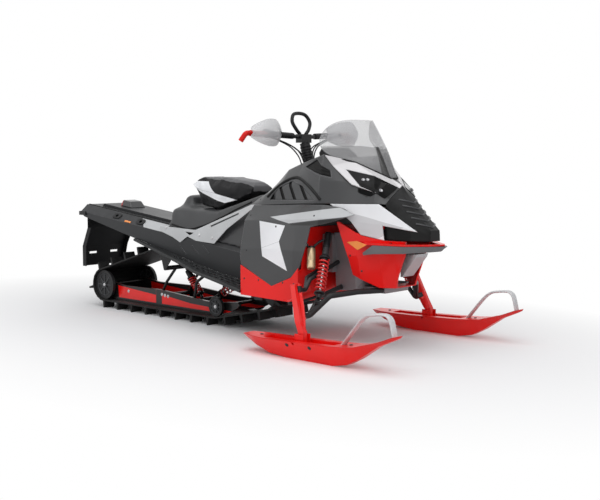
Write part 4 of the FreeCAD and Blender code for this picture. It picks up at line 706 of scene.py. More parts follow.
def make_finishes(body, seat):
    # The lighter edge colours below are painted highlights on the ridges, partly also edge wear
    moulded = dict(coat=0.12, grain=0.08, grain_scale=1400.0, specular=0.4)
    painted = dict(coat=0.2, specular=0.3, edge_wear_and_highlight=(0.45, 0.10, 0.10), dust=0.02)
    finish("charcoal plastic", body.charcoal, 0.40, coat=0.10, grain=0.10, grain_scale=1400.0, specular=0.35,
           edge=0.006, edge_wear_and_highlight=(0.15, 0.15, 0.155))
    finish("hood plastic", body.charcoal, 0.36, edge=0.012, edge_wear_and_highlight=(0.17, 0.17, 0.175),
           patches=HOOD_PATCHES, **moulded)
    finish("slat plastic", body.charcoal, 0.36, edge=0.004, **moulded)
    # The black wedge under the stripe is painted shade
    finish("side panel plastic", body.charcoal, 0.36, edge=0.010, edge_wear_and_highlight=(0.17, 0.17, 0.175),
           patches=from_side([SHADE_WEDGE], PATCH_BLACK) + from_side([STRIPE], body.silver)
           + from_side(PLATES, body.white), **moulded)
    finish("rail paint", body.red, 0.30, patches=from_side(RAIL_AREAS, RAIL_BLACK), **painted)
    finish("red paint", body.red, 0.30, **painted)
    finish("red plastic", body.red, 0.34, coat=0.12, grain=0.03, specular=0.25, edge=0.006, dust=0.02)
    finish("nose panel plastic", body.white, 0.30, coat=0.3, grain=0.04, edge=0.008,
           patches=NOSE_PANEL_SHADE)
    finish("black plastic", body.black, 0.45, grain=0.25, grain_scale=1100.0, specular=0.18)
    finish("nose plastic", (0.007, 0.007, 0.007), 0.30, specular=0.12, edge=0.008)
    finish("vent black", (0.006, 0.006, 0.006), 0.55, grain=0.2, specular=0.2)
    finish("silver trim", (0.56, 0.55, 0.56), 0.28, coat=0.3, metallic=0.15, grain=0.03, edge=0.006)
    finish("lamp glass", (0.002, 0.002, 0.002), 0.08, specular=0.10, edge=0.004)
    finish("grey plastic", body.grey, 0.45, grain=0.2, specular=0.35)
    finish("silver metal", body.silver, 0.36, metallic=0.45, brushed=0.10, edge_wear_and_highlight=(0.75, 0.75, 0.75))
    finish("frame metal", (0.22, 0.21, 0.22), 0.42, metallic=0.4, brushed=0.10)
    finish("steel", (0.55, 0.55, 0.56), 0.28, metallic=1.0, brushed=0.06)
    finish("black metal", (0.014, 0.014, 0.015), 0.38, metallic=0.1, coat=0.05, specular=0.25,
           edge_wear_and_highlight=(0.12, 0.12, 0.13))
    finish("tunnel metal", (0.028, 0.029, 0.031), 0.42, metallic=0.2, brushed=0.06, specular=0.28,
           edge_wear_and_highlight=(0.2, 0.2, 0.21), patches=[("xy", TUNNEL_STRIP, body.silver)])
    finish("board metal", (0.020, 0.021, 0.022), 0.45, metallic=0.2, brushed=0.08, specular=0.28,
           edge_wear_and_highlight=(0.2, 0.2, 0.21))
    finish("track rubber", (0.010, 0.010, 0.010), 0.62, grain=0.5, grain_scale=500.0, dust=0.10, scuff=0.3,
           specular=0.25)
    finish("grip rubber", (0.62, 0.012, 0.008), 0.55, grain=0.4, grain_scale=700.0, specular=0.25)
    finish("wheel plastic", (0.012, 0.012, 0.013), 0.48, grain=0.2, specular=0.3)
    finish("hub grey", (0.040, 0.042, 0.045), 0.42, metallic=0.2, specular=0.3)
    finish("tan anodised", (0.50, 0.38, 0.23), 0.30, metallic=0.55)
    finish("pale loop", (0.62, 0.62, 0.63), 0.42, grain=0.2)
    finish("seat vinyl", seat.cover, 0.50, grain=0.5, grain_scale=620.0, drift=0.14, edge=0.0, specular=0.15,
           patches=from_side(SEAT_ACCENTS, body.white), zone=("crown", seat.top))
    finish("spring red", (0.66, 0.010, 0.008), 0.28, coat=0.4)
    finish("cast metal", (0.10, 0.10, 0.10), 0.55, metallic=0.6, grain=0.4)
    finish("orange reflector", (0.90, 0.26, 0.015), 0.15, coat=0.5)
    finish("tail lamp", (0.030, 0.030, 0.032), 0.30, coat=0.3, patches=from_side([TAIL_LENS], LENS_RED))
    finish("lamp chrome", (0.30, 0.30, 0.31), 0.22, metallic=1.0, edge=0.0)
    glass_finish("smoke screen", (0.42, 0.42, 0.43), 0.10, 0.36, bands=SCREEN_BANDS)
    glass_finish("guard plastic", (0.62, 0.62, 0.63), 0.35, 0.60)


# Finish of each CAD node; the others are black metal
NODE_FINISHES = {node: name for name, nodes in {
    "track rubber": "track", "wheel plastic": "rear_idlers guide_wheels carrier_wheels",
    "rail paint": "slide_rails", "tunnel metal": "tunnel", "board metal": "running_boards",
    "seat vinyl": "seat", "charcoal plastic": "seat_base", "tail lamp": "tail_light",
    "black plastic": "snow_flap controls grab_ring cargo_anchors gauge",
    "silver metal": "side_braces nose_plate", "hood plastic": "hood", "nose plastic": "nose",
    "nose panel plastic": "nose_panels", "silver trim": "lamp_trim", "lamp glass": "headlamps",
    "side panel plastic": "side_panels", "red plastic": "belly_pan belly_nose ski_right ski_left",
    "grey plastic": "front_bumper", "smoke screen": "windshield", "frame metal": "bulkhead",
    "cast metal": "engine", "red paint": "front_shocks spindle_right spindle_left",
    "tan anodised": "shock_reservoirs", "pale loop": "ski_loop_right ski_loop_left",
    "grip rubber": "grips", "guard plastic": "hand_guards", "slat plastic": "side_vents",
    "vent black": "intake_grilles",
}.items() for node in nodes.split()}


class SNOWMOBILE_OT_finishes(bpy.types.Operator):
    """Makes the shader groups, recipes and finishes, and gives every CAD node its own"""
    bl_idname = "snowmobile.finishes"
    bl_label = "Finishes"

    def execute(self, context):
        GROUPS.update(grain=make_grain_group(), edge=make_soft_edge_group(), scuffs=make_scuff_group(),
                      brushed=make_brushed_group(), dust=make_dust_group())
        RECIPES.update(
            coil=make_coil_recipe(), slats=make_slat_recipe(), tubes=make_tube_recipe(),
            bolt=make_head_recipe("Bolt head with washer", BOLT_LAYERS),
            rivet=make_head_recipe("Rivet head", RIVET_LAYERS))
        make_finishes(context.scene.snowmobile_bodywork, context.scene.snowmobile_seat)
        for node, piece in NODES.items():
            slots = piece.data.materials
            slots.clear()
            slots.append(FINISHES[NODE_FINISHES.get(node, "black metal")])
        return {"FINISHED"}


# Coil-over shock absorbers: their two ends
FRONT_SHOCK = ((0.785, 0.212, 0.605), (0.896, 0.418, 0.268))
SKID_SHOCKS = (((-0.395, 0.045, 0.118), (0.040, 0.045, 0.342)),
               ((-0.395, -0.045, 0.118), (-0.562, -0.045, 0.318)))
EYE_LIP = 0.002


def coil_on(start, end, low, high, radius, turns, wire):
    """A coil spring between two shares of a line."""
    mesh = run_recipe("coil", bpy.data.meshes.new("seed"), "spring red", Turns=turns, Radius=radius - wire,
                      Height=length_of(start, end) * (high - low), Wire=wire)
    turn = (Vector(end) - Vector(start)).to_track_quat("Z", "Y").to_matrix().to_4x4()
    mesh.transform(Matrix.Translation(between(start, end, low)) @ turn)
    return mesh


def share_lathe(shape, start, end, profile, sides=24):
    """A lathe whose profile is (share of the line, radius)."""
    length = length_of(start, end)
    lathe(shape, start, end, [(share * length, radius) for share, radius in profile], sides)


def cross_eye(shape, middle, half, radius):
    """A mounting eye with its sleeve, along X."""
    middle, across = Vector(middle), Vector((half, 0, 0))
    bore = 0.6 * radius
    far = 2 * half
    lathe(shape, middle - across, middle + across, [
        (0, bore), (EYE_LIP, bore), (EYE_LIP, radius), (far - EYE_LIP, radius), (far - EYE_LIP, bore),
        (far, bore)])


def front_shock_body(shape, top, low):
    """The upper body with its threaded collar and adjuster, the lower perch and both eyes."""
    share_lathe(shape, top, low, [
        (0.02, 0.012), (0.03, 0.0185), (0.20, 0.0185), (0.205, 0.0165), (0.33, 0.0165), (0.33, 0.0215),
        (0.355, 0.0285), (0.375, 0.0285), (0.38, 0.0165), (0.43, 0.0165), (0.435, 0.010)])
    length = length_of(top, low)
    for k in range(7):
        ridge = (0.225 + 0.014 * k) * length
        lathe(shape, top, low, [(ridge, 0.0160), (ridge + 0.0015, 0.0178), (ridge + 0.003, 0.0160)])
    share_lathe(shape, top, low, [
        (0.855, 0.011), (0.857, 0.0285), (0.875, 0.0285), (0.89, 0.014), (0.93, 0.012)])
    cross_eye(shape, low, 0.014, 0.0125)
    cross_eye(shape, between(top, low, 0.015), 0.015, 0.0135)


def skid_shock_body(shape, low, top):
    """The lower perch and the upper body with its collar."""
    length = length_of(low, top)
    gap = 0.016
    lathe(shape, low, top, [
        (gap, 0.006), (gap + 0.002, 0.010), (0.16 * length, 0.010), (0.16 * length, 0.027),
        (0.185 * length, 0.027), (0.19 * length, 0.012), (0.195 * length, 0.008)])
    share_lathe(shape, low, top, [
        (0.50, 0.009), (0.505, 0.0165), (0.645, 0.0165), (0.65, 0.0275), (0.68, 0.0275), (0.685, 0.0195),
        (0.86, 0.0195), (0.87, 0.010), (1.0 - gap / length, 0.010)])


class SNOWMOBILE_OT_shocks(bpy.types.Operator):
    """Makes the four coil-over shock absorbers: bodies, shafts and coil springs"""
    bl_idname = "snowmobile.shocks"
    bl_label = "Shock absorbers"

    def execute(self, context):
        gear = context.scene.snowmobile_gear
        self.pair("front", [mirrored(FRONT_SHOCK, side) for side in BOTH], front_shock_body,
                  [(0.42, 0.0075), (0.87, 0.0075)], (0.385, 0.850, 0.0285, gear.front_turns, gear.front_wire))
        self.pair("skid", SKID_SHOCKS, skid_shock_body,
                  [(0.18, 0.007), (0.52, 0.007)], (0.19, 0.65, 0.028, gear.skid_turns, gear.skid_wire))
        return {"FINISHED"}

    def pair(self, name, lines, body, shaft, coil):
        def bodies(shape):
            for line in lines:
                body(shape, *line)

        def shafts(shape):
            for line in lines:
                share_lathe(shape, *line, shaft, 16)

        built_piece(name + "_shock_bodies", bodies, "black metal", "chassis", name + "_shocks")
        built_piece(name + "_shock_shafts", shafts, "steel", "chassis")
        coils = joined([coil_on(*line, *coil) for line in lines])
        new_piece(name + "_shock_coils", coils, "spring red", "chassis")


# Wheels: (x, z, radius), the place of their two discs, half a disc's thickness, the hub's radius, and
# the radius and height of the bolt's head on the axle
WHEELS = ((-1.232, 0.155, 0.098), (-0.129, 0.117, 0.060), (-0.500, 0.418, 0.058))
WHEEL_Y = 0.178
WHEEL_HALF = 0.010
HUB_RADIUS = 0.024
AXLE_BOLT = (0.0078, 0.006)


def wheel_face(shape, x, y, z, radius, spokes, out):
    """Rim ring, spokes and hub on one face of a wheel. out is the direction in Y that the face looks."""
    middle, outer = Vector((x, y + out * 0.0045, z)), (x, y + out * 0.02, z)
    rim, hub = 0.78 * radius, HUB_RADIUS
    lathe(shape, middle, outer, [(0, rim - 0.001), (0.0052, rim - 0.001), (0.0052, rim - 0.0045),
                                 (0.003, rim - 0.0075), (0, rim - 0.0080)], 40)
    lathe(shape, middle, outer, [(0, hub), (0.0075, hub), (0.0085, hub - 0.002), (0.0085, 0.015),
                                 (0.006, 0.0145), (0.006, 0.0115)], 28)
    half = 0.0035 if radius > 0.08 else 0.003
    for turn in turn_steps(spokes):
        along = Vector((math.cos(turn), 0, math.sin(turn)))
        across = Vector((-math.sin(turn), 0, math.cos(turn))) * half
        near, far = middle + along * (hub - 0.001), middle + along * (rim - 0.004)
        corners = [near - across * 1.5, far - across, far + across, near + across * 1.5]
        prism(shape, corners, (0, out * 0.0042, 0))


class SNOWMOBILE_OT_wheels(bpy.types.Operator):
    """Dresses the idler, guide and carrier wheels with rims, spokes, hubs and axle bolts"""
    bl_idname = "snowmobile.wheels"
    bl_label = "Wheels"

    def execute(self, context):
        spokes = context.scene.snowmobile_gear.spokes

        def faces(shape):
            for x, z, radius in WHEELS:
                for side in BOTH:
                    for out in BOTH:
                        wheel_face(shape, x, side * WHEEL_Y, z, radius, spokes, out)

        built_piece("wheel_spokes", faces, "hub grey", "chassis")
        bolts = [((x, side * (WHEEL_Y + WHEEL_HALF), z), (0, side, 0))
                 for x, z, radius in WHEELS for side in BOTH]
        heads = run_recipe("bolt", aimed_points(bolts), "steel", Radius=AXLE_BOLT[0], Height=AXLE_BOLT[1])
        new_piece("wheel_axle_bolts", heads, "steel", "chassis")
        return {"FINISHED"}


# Seat: outline of the grey top cover seen from above, and the sewn seams (line, depth, width)
SEAT_CROWN = ((-0.42, -0.01), (-0.42, 0.038), (-0.335, 0.084), (-0.15, 0.101), (0.0, 0.084), (0.11, 0.066),
              (0.11, -0.01))
CROWN_BLEND = 0.03
SEAT_SEAMS = (
    ([(-0.400, 0.060, 0.882), (-0.335, 0.104, 0.872), (-0.150, 0.122, 0.868), (0.0, 0.103, 0.857),
      (0.085, 0.088, 0.840)], 0.0030, 0.0040),
    ([(-0.150, 0.122, 0.868), (-0.150, 0.0, 0.886)], 0.0022, 0.0040),
    ([(-0.390, 0.100, 0.822), (-0.265, 0.137, 0.800), (-0.100, 0.150, 0.738), (0.0, 0.148, 0.758)],
     0.0016, 0.0035),
)
CLOTH_FRAMES = 20


def crease(mesh, line, depth, width):
    """Presses a sewn channel into a mesh along a line of points, and its mirror image."""
    lines = [[Vector(p) for p in mirrored(line, side)] for side in BOTH]
    moves = []
    for vertex in mesh.vertices:
        near = min(nearest_on_line(vertex.co, run) for run in lines)
        moves.append(vertex.normal * (-depth * math.exp(-(near / width) ** 2)) if near < 3 * width else None)
    for vertex, move in zip(mesh.vertices, moves):
        if move is not None:
            vertex.co += move


def inside_outline(spot, outline):
    """Whether a point lies in a plane outline."""
    odd = False
    for (x0, y0), (x1, y1) in zip(outline, outline[1:] + outline[:1]):
        if (y0 > spot[1]) != (y1 > spot[1]) and spot[0] < x0 + (spot[1] - y0) * (x1 - x0) / (y1 - y0):
            odd = not odd
    return odd


def nearest_on_line(spot, run):
    best = 1e9
    for a, b in zip(run, run[1:]):
        along = b - a
        share = max(0.0, min(1.0, (spot - a).dot(along) / along.length_squared))
        best = min(best, (spot - a - along * share).length)
    return best


class SNOWMOBILE_OT_seat(bpy.types.Operator):
    """Makes the padded seat: its solid, remeshed, blown up as cloth, with sewn seams"""
    bl_idname = "snowmobile.seat"
    bl_label = "Seat"

    def execute(self, context):
        settings = context.scene.snowmobile_seat
        piece = holder_of(node_copy("seat", flat=False))
        for vertex in piece.data.vertices:
            vertex.co -= vertex.normal * settings.inset
        modify(piece, "REMESH", mode="VOXEL", voxel_size=settings.voxel)
        piece.data = applied(piece)
        self.blow_up(piece, settings)
        modify(piece, "SMOOTH", factor=0.5, iterations=14)
        modify(piece, "SUBSURF", levels=1, render_levels=1)
        piece.data = mesh = applied(piece)
        piece.name = mesh.name = "seat_cushion"
        for line, depth, width in SEAT_SEAMS:
            crease(mesh, line, depth, width)
        for face in mesh.polygons:
            face.use_smooth = True
        mesh.materials.append(FINISHES["seat vinyl"])
        self.mark_crown(mesh)
        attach(piece, "chassis")
        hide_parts("seat")
        return {"FINISHED"}

    def blow_up(self, piece, settings):
        """Swells the cushion as cloth under pressure, and caps how far any point of it moves."""
        scene = bpy.context.scene
        start = [v.co.copy() for v in piece.data.vertices]
        cloth = modify(piece, "CLOTH")
        cloth.settings.quality = 6
        cloth.settings.mass = 0.3
        cloth.settings.use_pressure = True
        cloth.settings.uniform_pressure_force = settings.pressure
        cloth.settings.effector_weights.gravity = 0.0
        cloth.point_cache.frame_start = 1
        cloth.point_cache.frame_end = CLOTH_FRAMES
        for step in range(1, CLOTH_FRAMES + 1):
            scene.frame_set(step)
        piece.data = applied(piece)
        scene.frame_set(1)
        for vertex, home in zip(piece.data.vertices, start):
            move = vertex.co - home
            if move.length > settings.swell:
                vertex.co = home + move.normalized() * settings.swell

    def mark_crown(self, mesh):
        """Writes where the top cover is: 1 inside its outline, 0 outside, with a soft edge."""
        crown = mesh.attributes.new("crown", "FLOAT", "POINT")
        corners = [Vector((x, y, 0.0)) for x, y in SEAT_CROWN]
        for vertex in mesh.vertices:
            spot = Vector((vertex.co.x, abs(vertex.co.y), 0.0))
            reach = nearest_on_line(spot, corners[1:-1])
            share = reach if inside_outline(spot, SEAT_CROWN) and vertex.normal.z > -0.2 else -reach
            crown.data[vertex.index].value = max(0.0, min(1.0, 0.5 + share / CROWN_BLEND))


# Bodywork whose solids get rounded edges: (node, piece, edge radius, body, record slot)
ROUNDED = (
    ("hood", "hood_shell", 0.0028, "chassis", "charcoal_plastic"),
    ("nose", "nose_shell", 0.003, "chassis", "black_plastic"),
    ("side_panels", "side_panel_shells", 0.0030, "chassis", "charcoal_plastic"),
    ("belly_pan", "belly_pan_shell", 0.0028, "chassis", "red_plastic"),
    ("belly_nose", "belly_nose_shell", 0.0028, "chassis", "red_plastic"),
    ("front_bumper", "front_bumper_wing", 0.0025, "chassis", "grey_plastic"),
    ("nose_panels", "nose_panel_skins", 0.0025, "chassis", "white_plastic"),
    ("lamp_trim", "lamp_trim_frames", 0.0025, "chassis", "white_plastic"),
    ("tail_light", "tail_lamp_housing", 0.006, "chassis", "tail_lens"),
    ("ski_right", "ski_right_body", 0.004, "right_ski", "red_plastic"),
    ("ski_left", "ski_left_body", 0.004, "left_ski", "red_plastic"),
    ("side_braces", "side_brace_plates", 0.0015, "chassis", "silver_metal"),
    ("snow_flap", "snow_flap_sheet", 0.0015, "chassis", "black_plastic"),
)


class SNOWMOBILE_OT_bodywork(bpy.types.Operator):
    """Gives the body panels, skis, braces and flap real rounded edges"""
    bl_idname = "snowmobile.bodywork"
    bl_label = "Bodywork"

    def execute(self, context):
        for node, name, radius, body, slot in ROUNDED:
            mesh = rounded(smooth(node_copy(node), math.radians(12)), radius)
            new_piece(name, mesh, NODE_FINISHES[node], body, node)
        return {"FINISHED"}


# Console: the seam between it and the right side brace, its remesh grid and the part smoothed more
CONSOLE_SEAM = (
    (-0.506, -0.199, 0.596), (-0.452, -0.197, 0.586), (-0.397, -0.195, 0.577), (-0.343, -0.194, 0.573),
    (-0.262, -0.190, 0.590), (-0.176, -0.182, 0.616), (-0.111, -0.176, 0.643), (-0.044, -0.174, 0.669),
    (0.031, -0.172, 0.701), (0.098, -0.172, 0.726), (0.170, -0.172, 0.752))
CONSOLE_GRID = 0.008
HUMP_FRONT, HUMP_FOOT, HUMP_ROUNDS = -0.12, 0.60, 70
# The seam along the tunnel's shoulder: its place across, its height at the tunnel's back and how it
# falls forwards
TUNNEL_BACK = -1.40
SHOULDER_Y, SHOULDER_Z, SHOULDER_FALL = 0.161, 0.6875, 0.118


class SNOWMOBILE_OT_console(bpy.types.Operator):
    """Makes the console under the seat as one soft-edged moulding, with the seams beside and behind it"""
    bl_idname = "snowmobile.console"
    bl_label = "Console"

    def execute(self, context):
        holder = holder_of(node_copy("seat_base"))
        modify(holder, "REMESH", mode="VOXEL", voxel_size=CONSOLE_GRID)
        modify(holder, "SMOOTH", factor=0.5, iterations=22)
        shape = bmesh.new()
        shape.from_mesh(plain_mesh(holder))
        hump = [v for v in shape.verts if v.co.x < HUMP_FRONT and v.co.z > HUMP_FOOT]
        for step in range(HUMP_ROUNDS):
            bmesh.ops.smooth_vert(shape, verts=hump, factor=0.5, use_axis_x=True, use_axis_y=True,
                                  use_axis_z=True)
        mesh = smooth(mesh_of(shape), math.radians(60))
        new_piece("seat_console", mesh, "charcoal plastic", "chassis", "seat_base")
        lines = []
        for side in BOTH:
            lines.append([Vector(p) + Vector((0, side * 0.001, 0)) for p in mirrored(CONSOLE_SEAM, -side)])
            lines.append([(x, side * SHOULDER_Y, SHOULDER_Z - SHOULDER_FALL * (x - TUNNEL_BACK))
                          for x in (-1.42, -1.10, -0.83, -0.56)])
        line_piece("console_seams", "tubes", [flowing(line) for line in lines], "vent black", "chassis",
                   Radius=0.0045)
        return {"FINISHED"}


# Ski handles: side view (x, z), the ski's middle, and half the strap's width
LOOP_ROUTE = ((1.172, 0.106), (1.215, 0.158), (1.252, 0.202), (1.288, 0.240), (1.322, 0.263), (1.360, 0.272),
              (1.405, 0.278), (1.436, 0.276), (1.457, 0.259), (1.468, 0.228), (1.476, 0.195), (1.481, 0.178))
SKI_Y = 0.545
STRAP_HALF = 0.0205


class SNOWMOBILE_OT_ski_loops(bpy.types.Operator):
    """Makes the curved strap handle at the front of each ski"""
    bl_idname = "snowmobile.ski_loops"
    bl_label = "Ski loops"

    def execute(self, context):
        for side, name in zip(BOTH, ("right", "left")):
            route = flowing([(x, side * SKI_Y, z) for x, z in LOOP_ROUTE])
            built_piece("ski_loop_" + name + "_band",
                        lambda shape: sweep(shape, route, STRAP_HALF, 16, flat=0.36), "pale loop",
                        name + "_ski", "ski_loop_" + name)
        return {"FINISHED"}


# Windshield: rows of points from the side to the front fold, low to high
SCREEN_ROWS = (((0.792, 0.254, 1.015), (0.702, 0.216, 1.095), (0.748, 0.180, 1.176)),
               ((0.910, 0.148, 0.976), (0.862, 0.130, 1.120), (0.806, 0.110, 1.206)),
               ((1.055, 0.028, 0.892), (0.987, 0.034, 1.050), (0.888, 0.030, 1.200)))


def sheet_mesh(rows, thickness, levels, creased=()):
    """A smooth closed sheet through a grid of points. creased names the rows that keep a fold."""
    shape = bmesh.new()
    grid = [[shape.verts.new(p) for p in row] for row in rows]
    crease = shape.edges.layers.float.new("crease_edge")
    for near, far in zip(grid, grid[1:]):
        for k in range(len(near) - 1):
            shape.faces.new((near[k], far[k], far[k + 1], near[k + 1]))
    for row in creased:
        for a, b in zip(grid[row], grid[row][1:]):
            shape.edges.get((a, b))[crease] = 0.75
    holder = holder_of(mesh_of(shape))
    modify(holder, "SUBSURF", levels=levels, render_levels=levels)
    modify(holder, "SOLIDIFY", thickness=thickness, offset=0.0)
    return smooth(plain_mesh(holder), math.radians(50))


class SNOWMOBILE_OT_windshield(bpy.types.Operator):
    """Makes the curved windshield and its rubber edge"""
    bl_idname = "snowmobile.windshield"
    bl_label = "Windshield"

    def execute(self, context):
        rows = [*SCREEN_ROWS, *(mirrored(row, -1) for row in SCREEN_ROWS[::-1])]
        new_piece("windshield_screen", sheet_mesh(rows, 0.004, 3, creased=(2, 3)), "smoke screen", "chassis",
                  "windshield")
        edge = [Vector(row[0]) + Vector((0.002, 0, 0.003)) for row in rows]
        path = []
        for start, end, steps in zip(edge, edge[1:], (6, 6, 3, 6, 6)):
            path += [start.lerp(end, k / steps) for k in range(steps)]
        path.append(edge[-1])
        built_piece("windshield_edge", lambda shape: sweep(shape, path, 0.0055, 10), "vent black", "chassis")
        return {"FINISHED"}


# Hand guards: share of the width, of the reach forwards and of the half height of each column
GUARD_COLUMNS = ((0.0, 0.10, 0.42), (0.12, 0.52, 0.72), (0.28, 0.82, 0.93), (0.46, 0.98, 1.0),
                 (0.62, 1.0, 0.98), (0.78, 0.90, 0.82), (0.91, 0.66, 0.58), (1.0, 0.40, 0.28))
# Each guard's inner end and width, its back, reach and bow forwards, and its middle height and half height
GUARD_INNER, GUARD_SPAN = 0.197, 0.240
GUARD_BACK, GUARD_REACH, GUARD_BOW = 0.420, 0.086, 0.030
GUARD_MIDDLE, GUARD_HALF = 1.1385, 0.074
GUARD_STEM = ((0.408, 0.221, 1.128), (0.440, 0.232, 1.134), (0.474, 0.252, 1.138))
GUARD_STUD = ((0.466, 0.247, 1.137), (0.480, 0.256, 1.139))


class SNOWMOBILE_OT_hand_guards(bpy.types.Operator):
    """Makes the pale curved hand guards with their stems"""
    bl_idname = "snowmobile.hand_guards"
    bl_label = "Hand guards"

    def execute(self, context):
        sheets = []
        for side in BOTH:
            rows = []
            for across, forward, tall in GUARD_COLUMNS:
                x, y = GUARD_BACK + GUARD_REACH * forward, side * (GUARD_INNER + GUARD_SPAN * across)
                rows.append([(x - GUARD_BOW * v * v, y, GUARD_MIDDLE + GUARD_HALF * tall * v)
                             for v in (-1.0, -0.6, 0.0, 0.6, 1.0)])
            sheets.append(sheet_mesh(rows, 0.0045, 2))
        new_piece("hand_guard_shields", joined(sheets), "guard plastic", "handlebars",
                  "hand_guards")

        def stems(shape):
            for side in BOTH:
                sweep(shape, mirrored(GUARD_STEM, side), 0.0055, 10)
                lathe(shape, *mirrored(GUARD_STUD, side), [(0, 0.010), (0.012, 0.010), (0.014, 0.006)], 16)

        built_piece("hand_guard_stems", stems, "black plastic", "handlebars")
        return {"FINISHED"}


# Rib down the outside of a spindle: its line, half its width and its height
SPINDLE_RIB = ((0.836, 0.497, 0.318), (0.852, 0.507, 0.270), (0.874, 0.520, 0.205), (0.893, 0.532, 0.150),
               (0.905, 0.541, 0.118))
RIB_HALF_WIDTH = 0.027
RIB_HEIGHT = 0.012


class SNOWMOBILE_OT_spindle_ribs(bpy.types.Operator):
    """Makes the broad forged rib down the outside of each spindle"""
    bl_idname = "snowmobile.spindle_ribs"
    bl_label = "Spindle ribs"

    def execute(self, context):
        for side, name in zip(BOTH, ("right", "left")):
            route = flowing(mirrored(SPINDLE_RIB, side), 4)
            last = len(route) - 1

            def rib(shape):
                rings = []
                for k, spot in enumerate(route):
                    along = (route[min(k + 1, last)] - route[max(k - 1, 0)]).normalized()
                    out = Vector((0, side, 0))
                    out = (out - along * out.dot(along)).normalized()
                    width = RIB_HALF_WIDTH * (0.62 + 0.38 * math.sin(math.pi * min(1.0, 0.12 + k / last)))
                    rings.append(ring(shape, spot, along.cross(out) * width, out * RIB_HEIGHT, 16))
                skin(shape, rings)

            built_piece(name + "_spindle_rib", rib, "red paint", name + "_spindle")
        return {"FINISHED"}


# Oil reservoir: its two ends, and how far its hose bows upwards
RESERVOIR = ((0.752, 0.310, 0.535), (0.782, 0.344, 0.425))
HOSE_LIFT = 0.035


class SNOWMOBILE_OT_reservoirs(bpy.types.Operator):
    """Makes the shock absorbers' oil reservoirs with their caps and hoses"""
    bl_idname = "snowmobile.reservoirs"
    bl_label = "Reservoirs"

    def execute(self, context):
        length = length_of(*RESERVOIR)

        def cans(shape):
            for side in BOTH:
                lathe(shape, *mirrored(RESERVOIR, side), [
                    (0.006, 0.0205), (0.010, 0.0225), (0.070, 0.0225), (0.072, 0.0215), (0.076, 0.0215),
                    (0.078, 0.0225), (length - 0.006, 0.0225), (length - 0.001, 0.017)], 32)

        def caps(shape):
            for side in BOTH:
                top, low = mirrored(RESERVOIR, side)
                lathe(shape, top, low, [(-0.006, 0.012), (-0.004, 0.0195), (0.006, 0.0195)], 32)
                start, end = between(top, low, 0.12), between(*mirrored(FRONT_SHOCK, side), 0.10)
                middle = start.lerp(end, 0.5) + Vector((0, 0, HOSE_LIFT))
                bow = [start.lerp(middle, k / 4).lerp(middle.lerp(end, k / 4), k / 4) for k in range(5)]
                sweep(shape, bow, 0.0065, 10)

        built_piece("reservoir_cans", cans, "tan anodised", "chassis", "shock_reservoirs")
        built_piece("reservoir_caps", caps, "black metal", "chassis")
        return {"FINISHED"}


# Vents: faces with more depth than a wall's behind them are slats; the arch over them, seen from the side
VENT_WALL = 0.008
VENT_ARCH = ((0.402, 0.790), (0.44, 0.825), (0.50, 0.868), (0.56, 0.893), (0.62, 0.896), (0.70, 0.865),
             (0.77, 0.815), (0.80, 0.785))
# Black strip behind the seam between hood and side panel: (x, y) and height
SEAM_LINE = ((0.50, 0.280), (0.62, 0.284), (0.74, 0.278), (0.83, 0.262), (0.895, 0.240))
SEAM_Z = 0.757


class SNOWMOBILE_OT_vents(bpy.types.Operator):
    """Shows the hood's side vents as charcoal slats in front of a bay painted black as shade"""
    bl_idname = "snowmobile.vents"
    bl_label = "Vents"

    def execute(self, context):
        mesh = node_copy("side_vents")
        shape = bmesh.new()
        shape.from_mesh(mesh)
        tree = BVHTree.FromBMesh(shape)
        walls = []
        for face in shape.faces:
            depth = tree.ray_cast(face.calc_center_median() - face.normal * 0.0003, -face.normal)[3] or 0.0
            walls.append(abs(face.normal.y) <= 0.3 or depth <= VENT_WALL)
        shape.free()
        new_piece("side_vent_slats", mesh, "slat plastic", "chassis", "side_vents")
        # The walls behind the slats take vent black: painted shade in the vent's recess
        mesh.materials.append(FINISHES["vent black"])
        for face, wall in zip(mesh.polygons, walls):
            face.material_index = int(wall)
        arches = [[on_surface("hood", (x, side, z), (0, -side, 0))[0] for x, z in VENT_ARCH] for side in BOTH]
        line_piece("vent_arches", "tubes", [flowing(line) for line in arches], "vent black", "chassis",
                   Radius=0.0085)
        lines = [[(x, side * y, SEAM_Z) for x, y in SEAM_LINE] for side in BOTH]
        line_piece("hood_seam_backing", "slats", lines, "vent black", "chassis", Width=0.050, Depth=0.004)
        return {"FINISHED"}


# Nose slats: their heights, the half width at the middle height, how it tapers off, and how far their
# ends rise
NOSE_SLATS = (0.650, 0.680, 0.710, 0.740, 0.770)
NOSE_SLAT_HALF = 0.075
NOSE_MIDDLE, NOSE_TAPER, NOSE_RISE = 0.70, 0.9, 0.02
# Headlamp bulbs and fog lamp: place on the right side, radius and the way they face
LED_FACING = (0.56, -0.52, 0.65)
LAMP_SPOTS = (((0.980, -0.163, 0.889), 0.0092, LED_FACING), ((0.996, -0.147, 0.889), 0.0092, LED_FACING),
              ((1.073, -0.135, 0.835), 0.0100, (0.72, -0.32, 0.62)))
# Black glass over a headlamp: rows (x, y) from its upper to its lower edge, and the points along each
# side of its grid
VISOR_ROWS = (((0.972, 0.200), (1.040, 0.176), (1.098, 0.130)),
              ((1.000, 0.150), (1.052, 0.118), (1.102, 0.075)),
              ((1.036, 0.096), (1.070, 0.068), (1.104, 0.030)))
VISOR_COUNT = 11
VISOR_LIFT, VISOR_THICKNESS = 0.0022, 0.003
# Reflectors: on the belly's side (x, z) and on the tunnel's top (x, y)
BELLY_REFLECTOR = ((0.935, 0.570), (0.997, 0.531), (1.057, 0.561), (0.995, 0.578))
TUNNEL_REFLECTOR = ((-0.961, 0.209), (-0.961, 0.219), (-0.899, 0.219), (-0.899, 0.209))


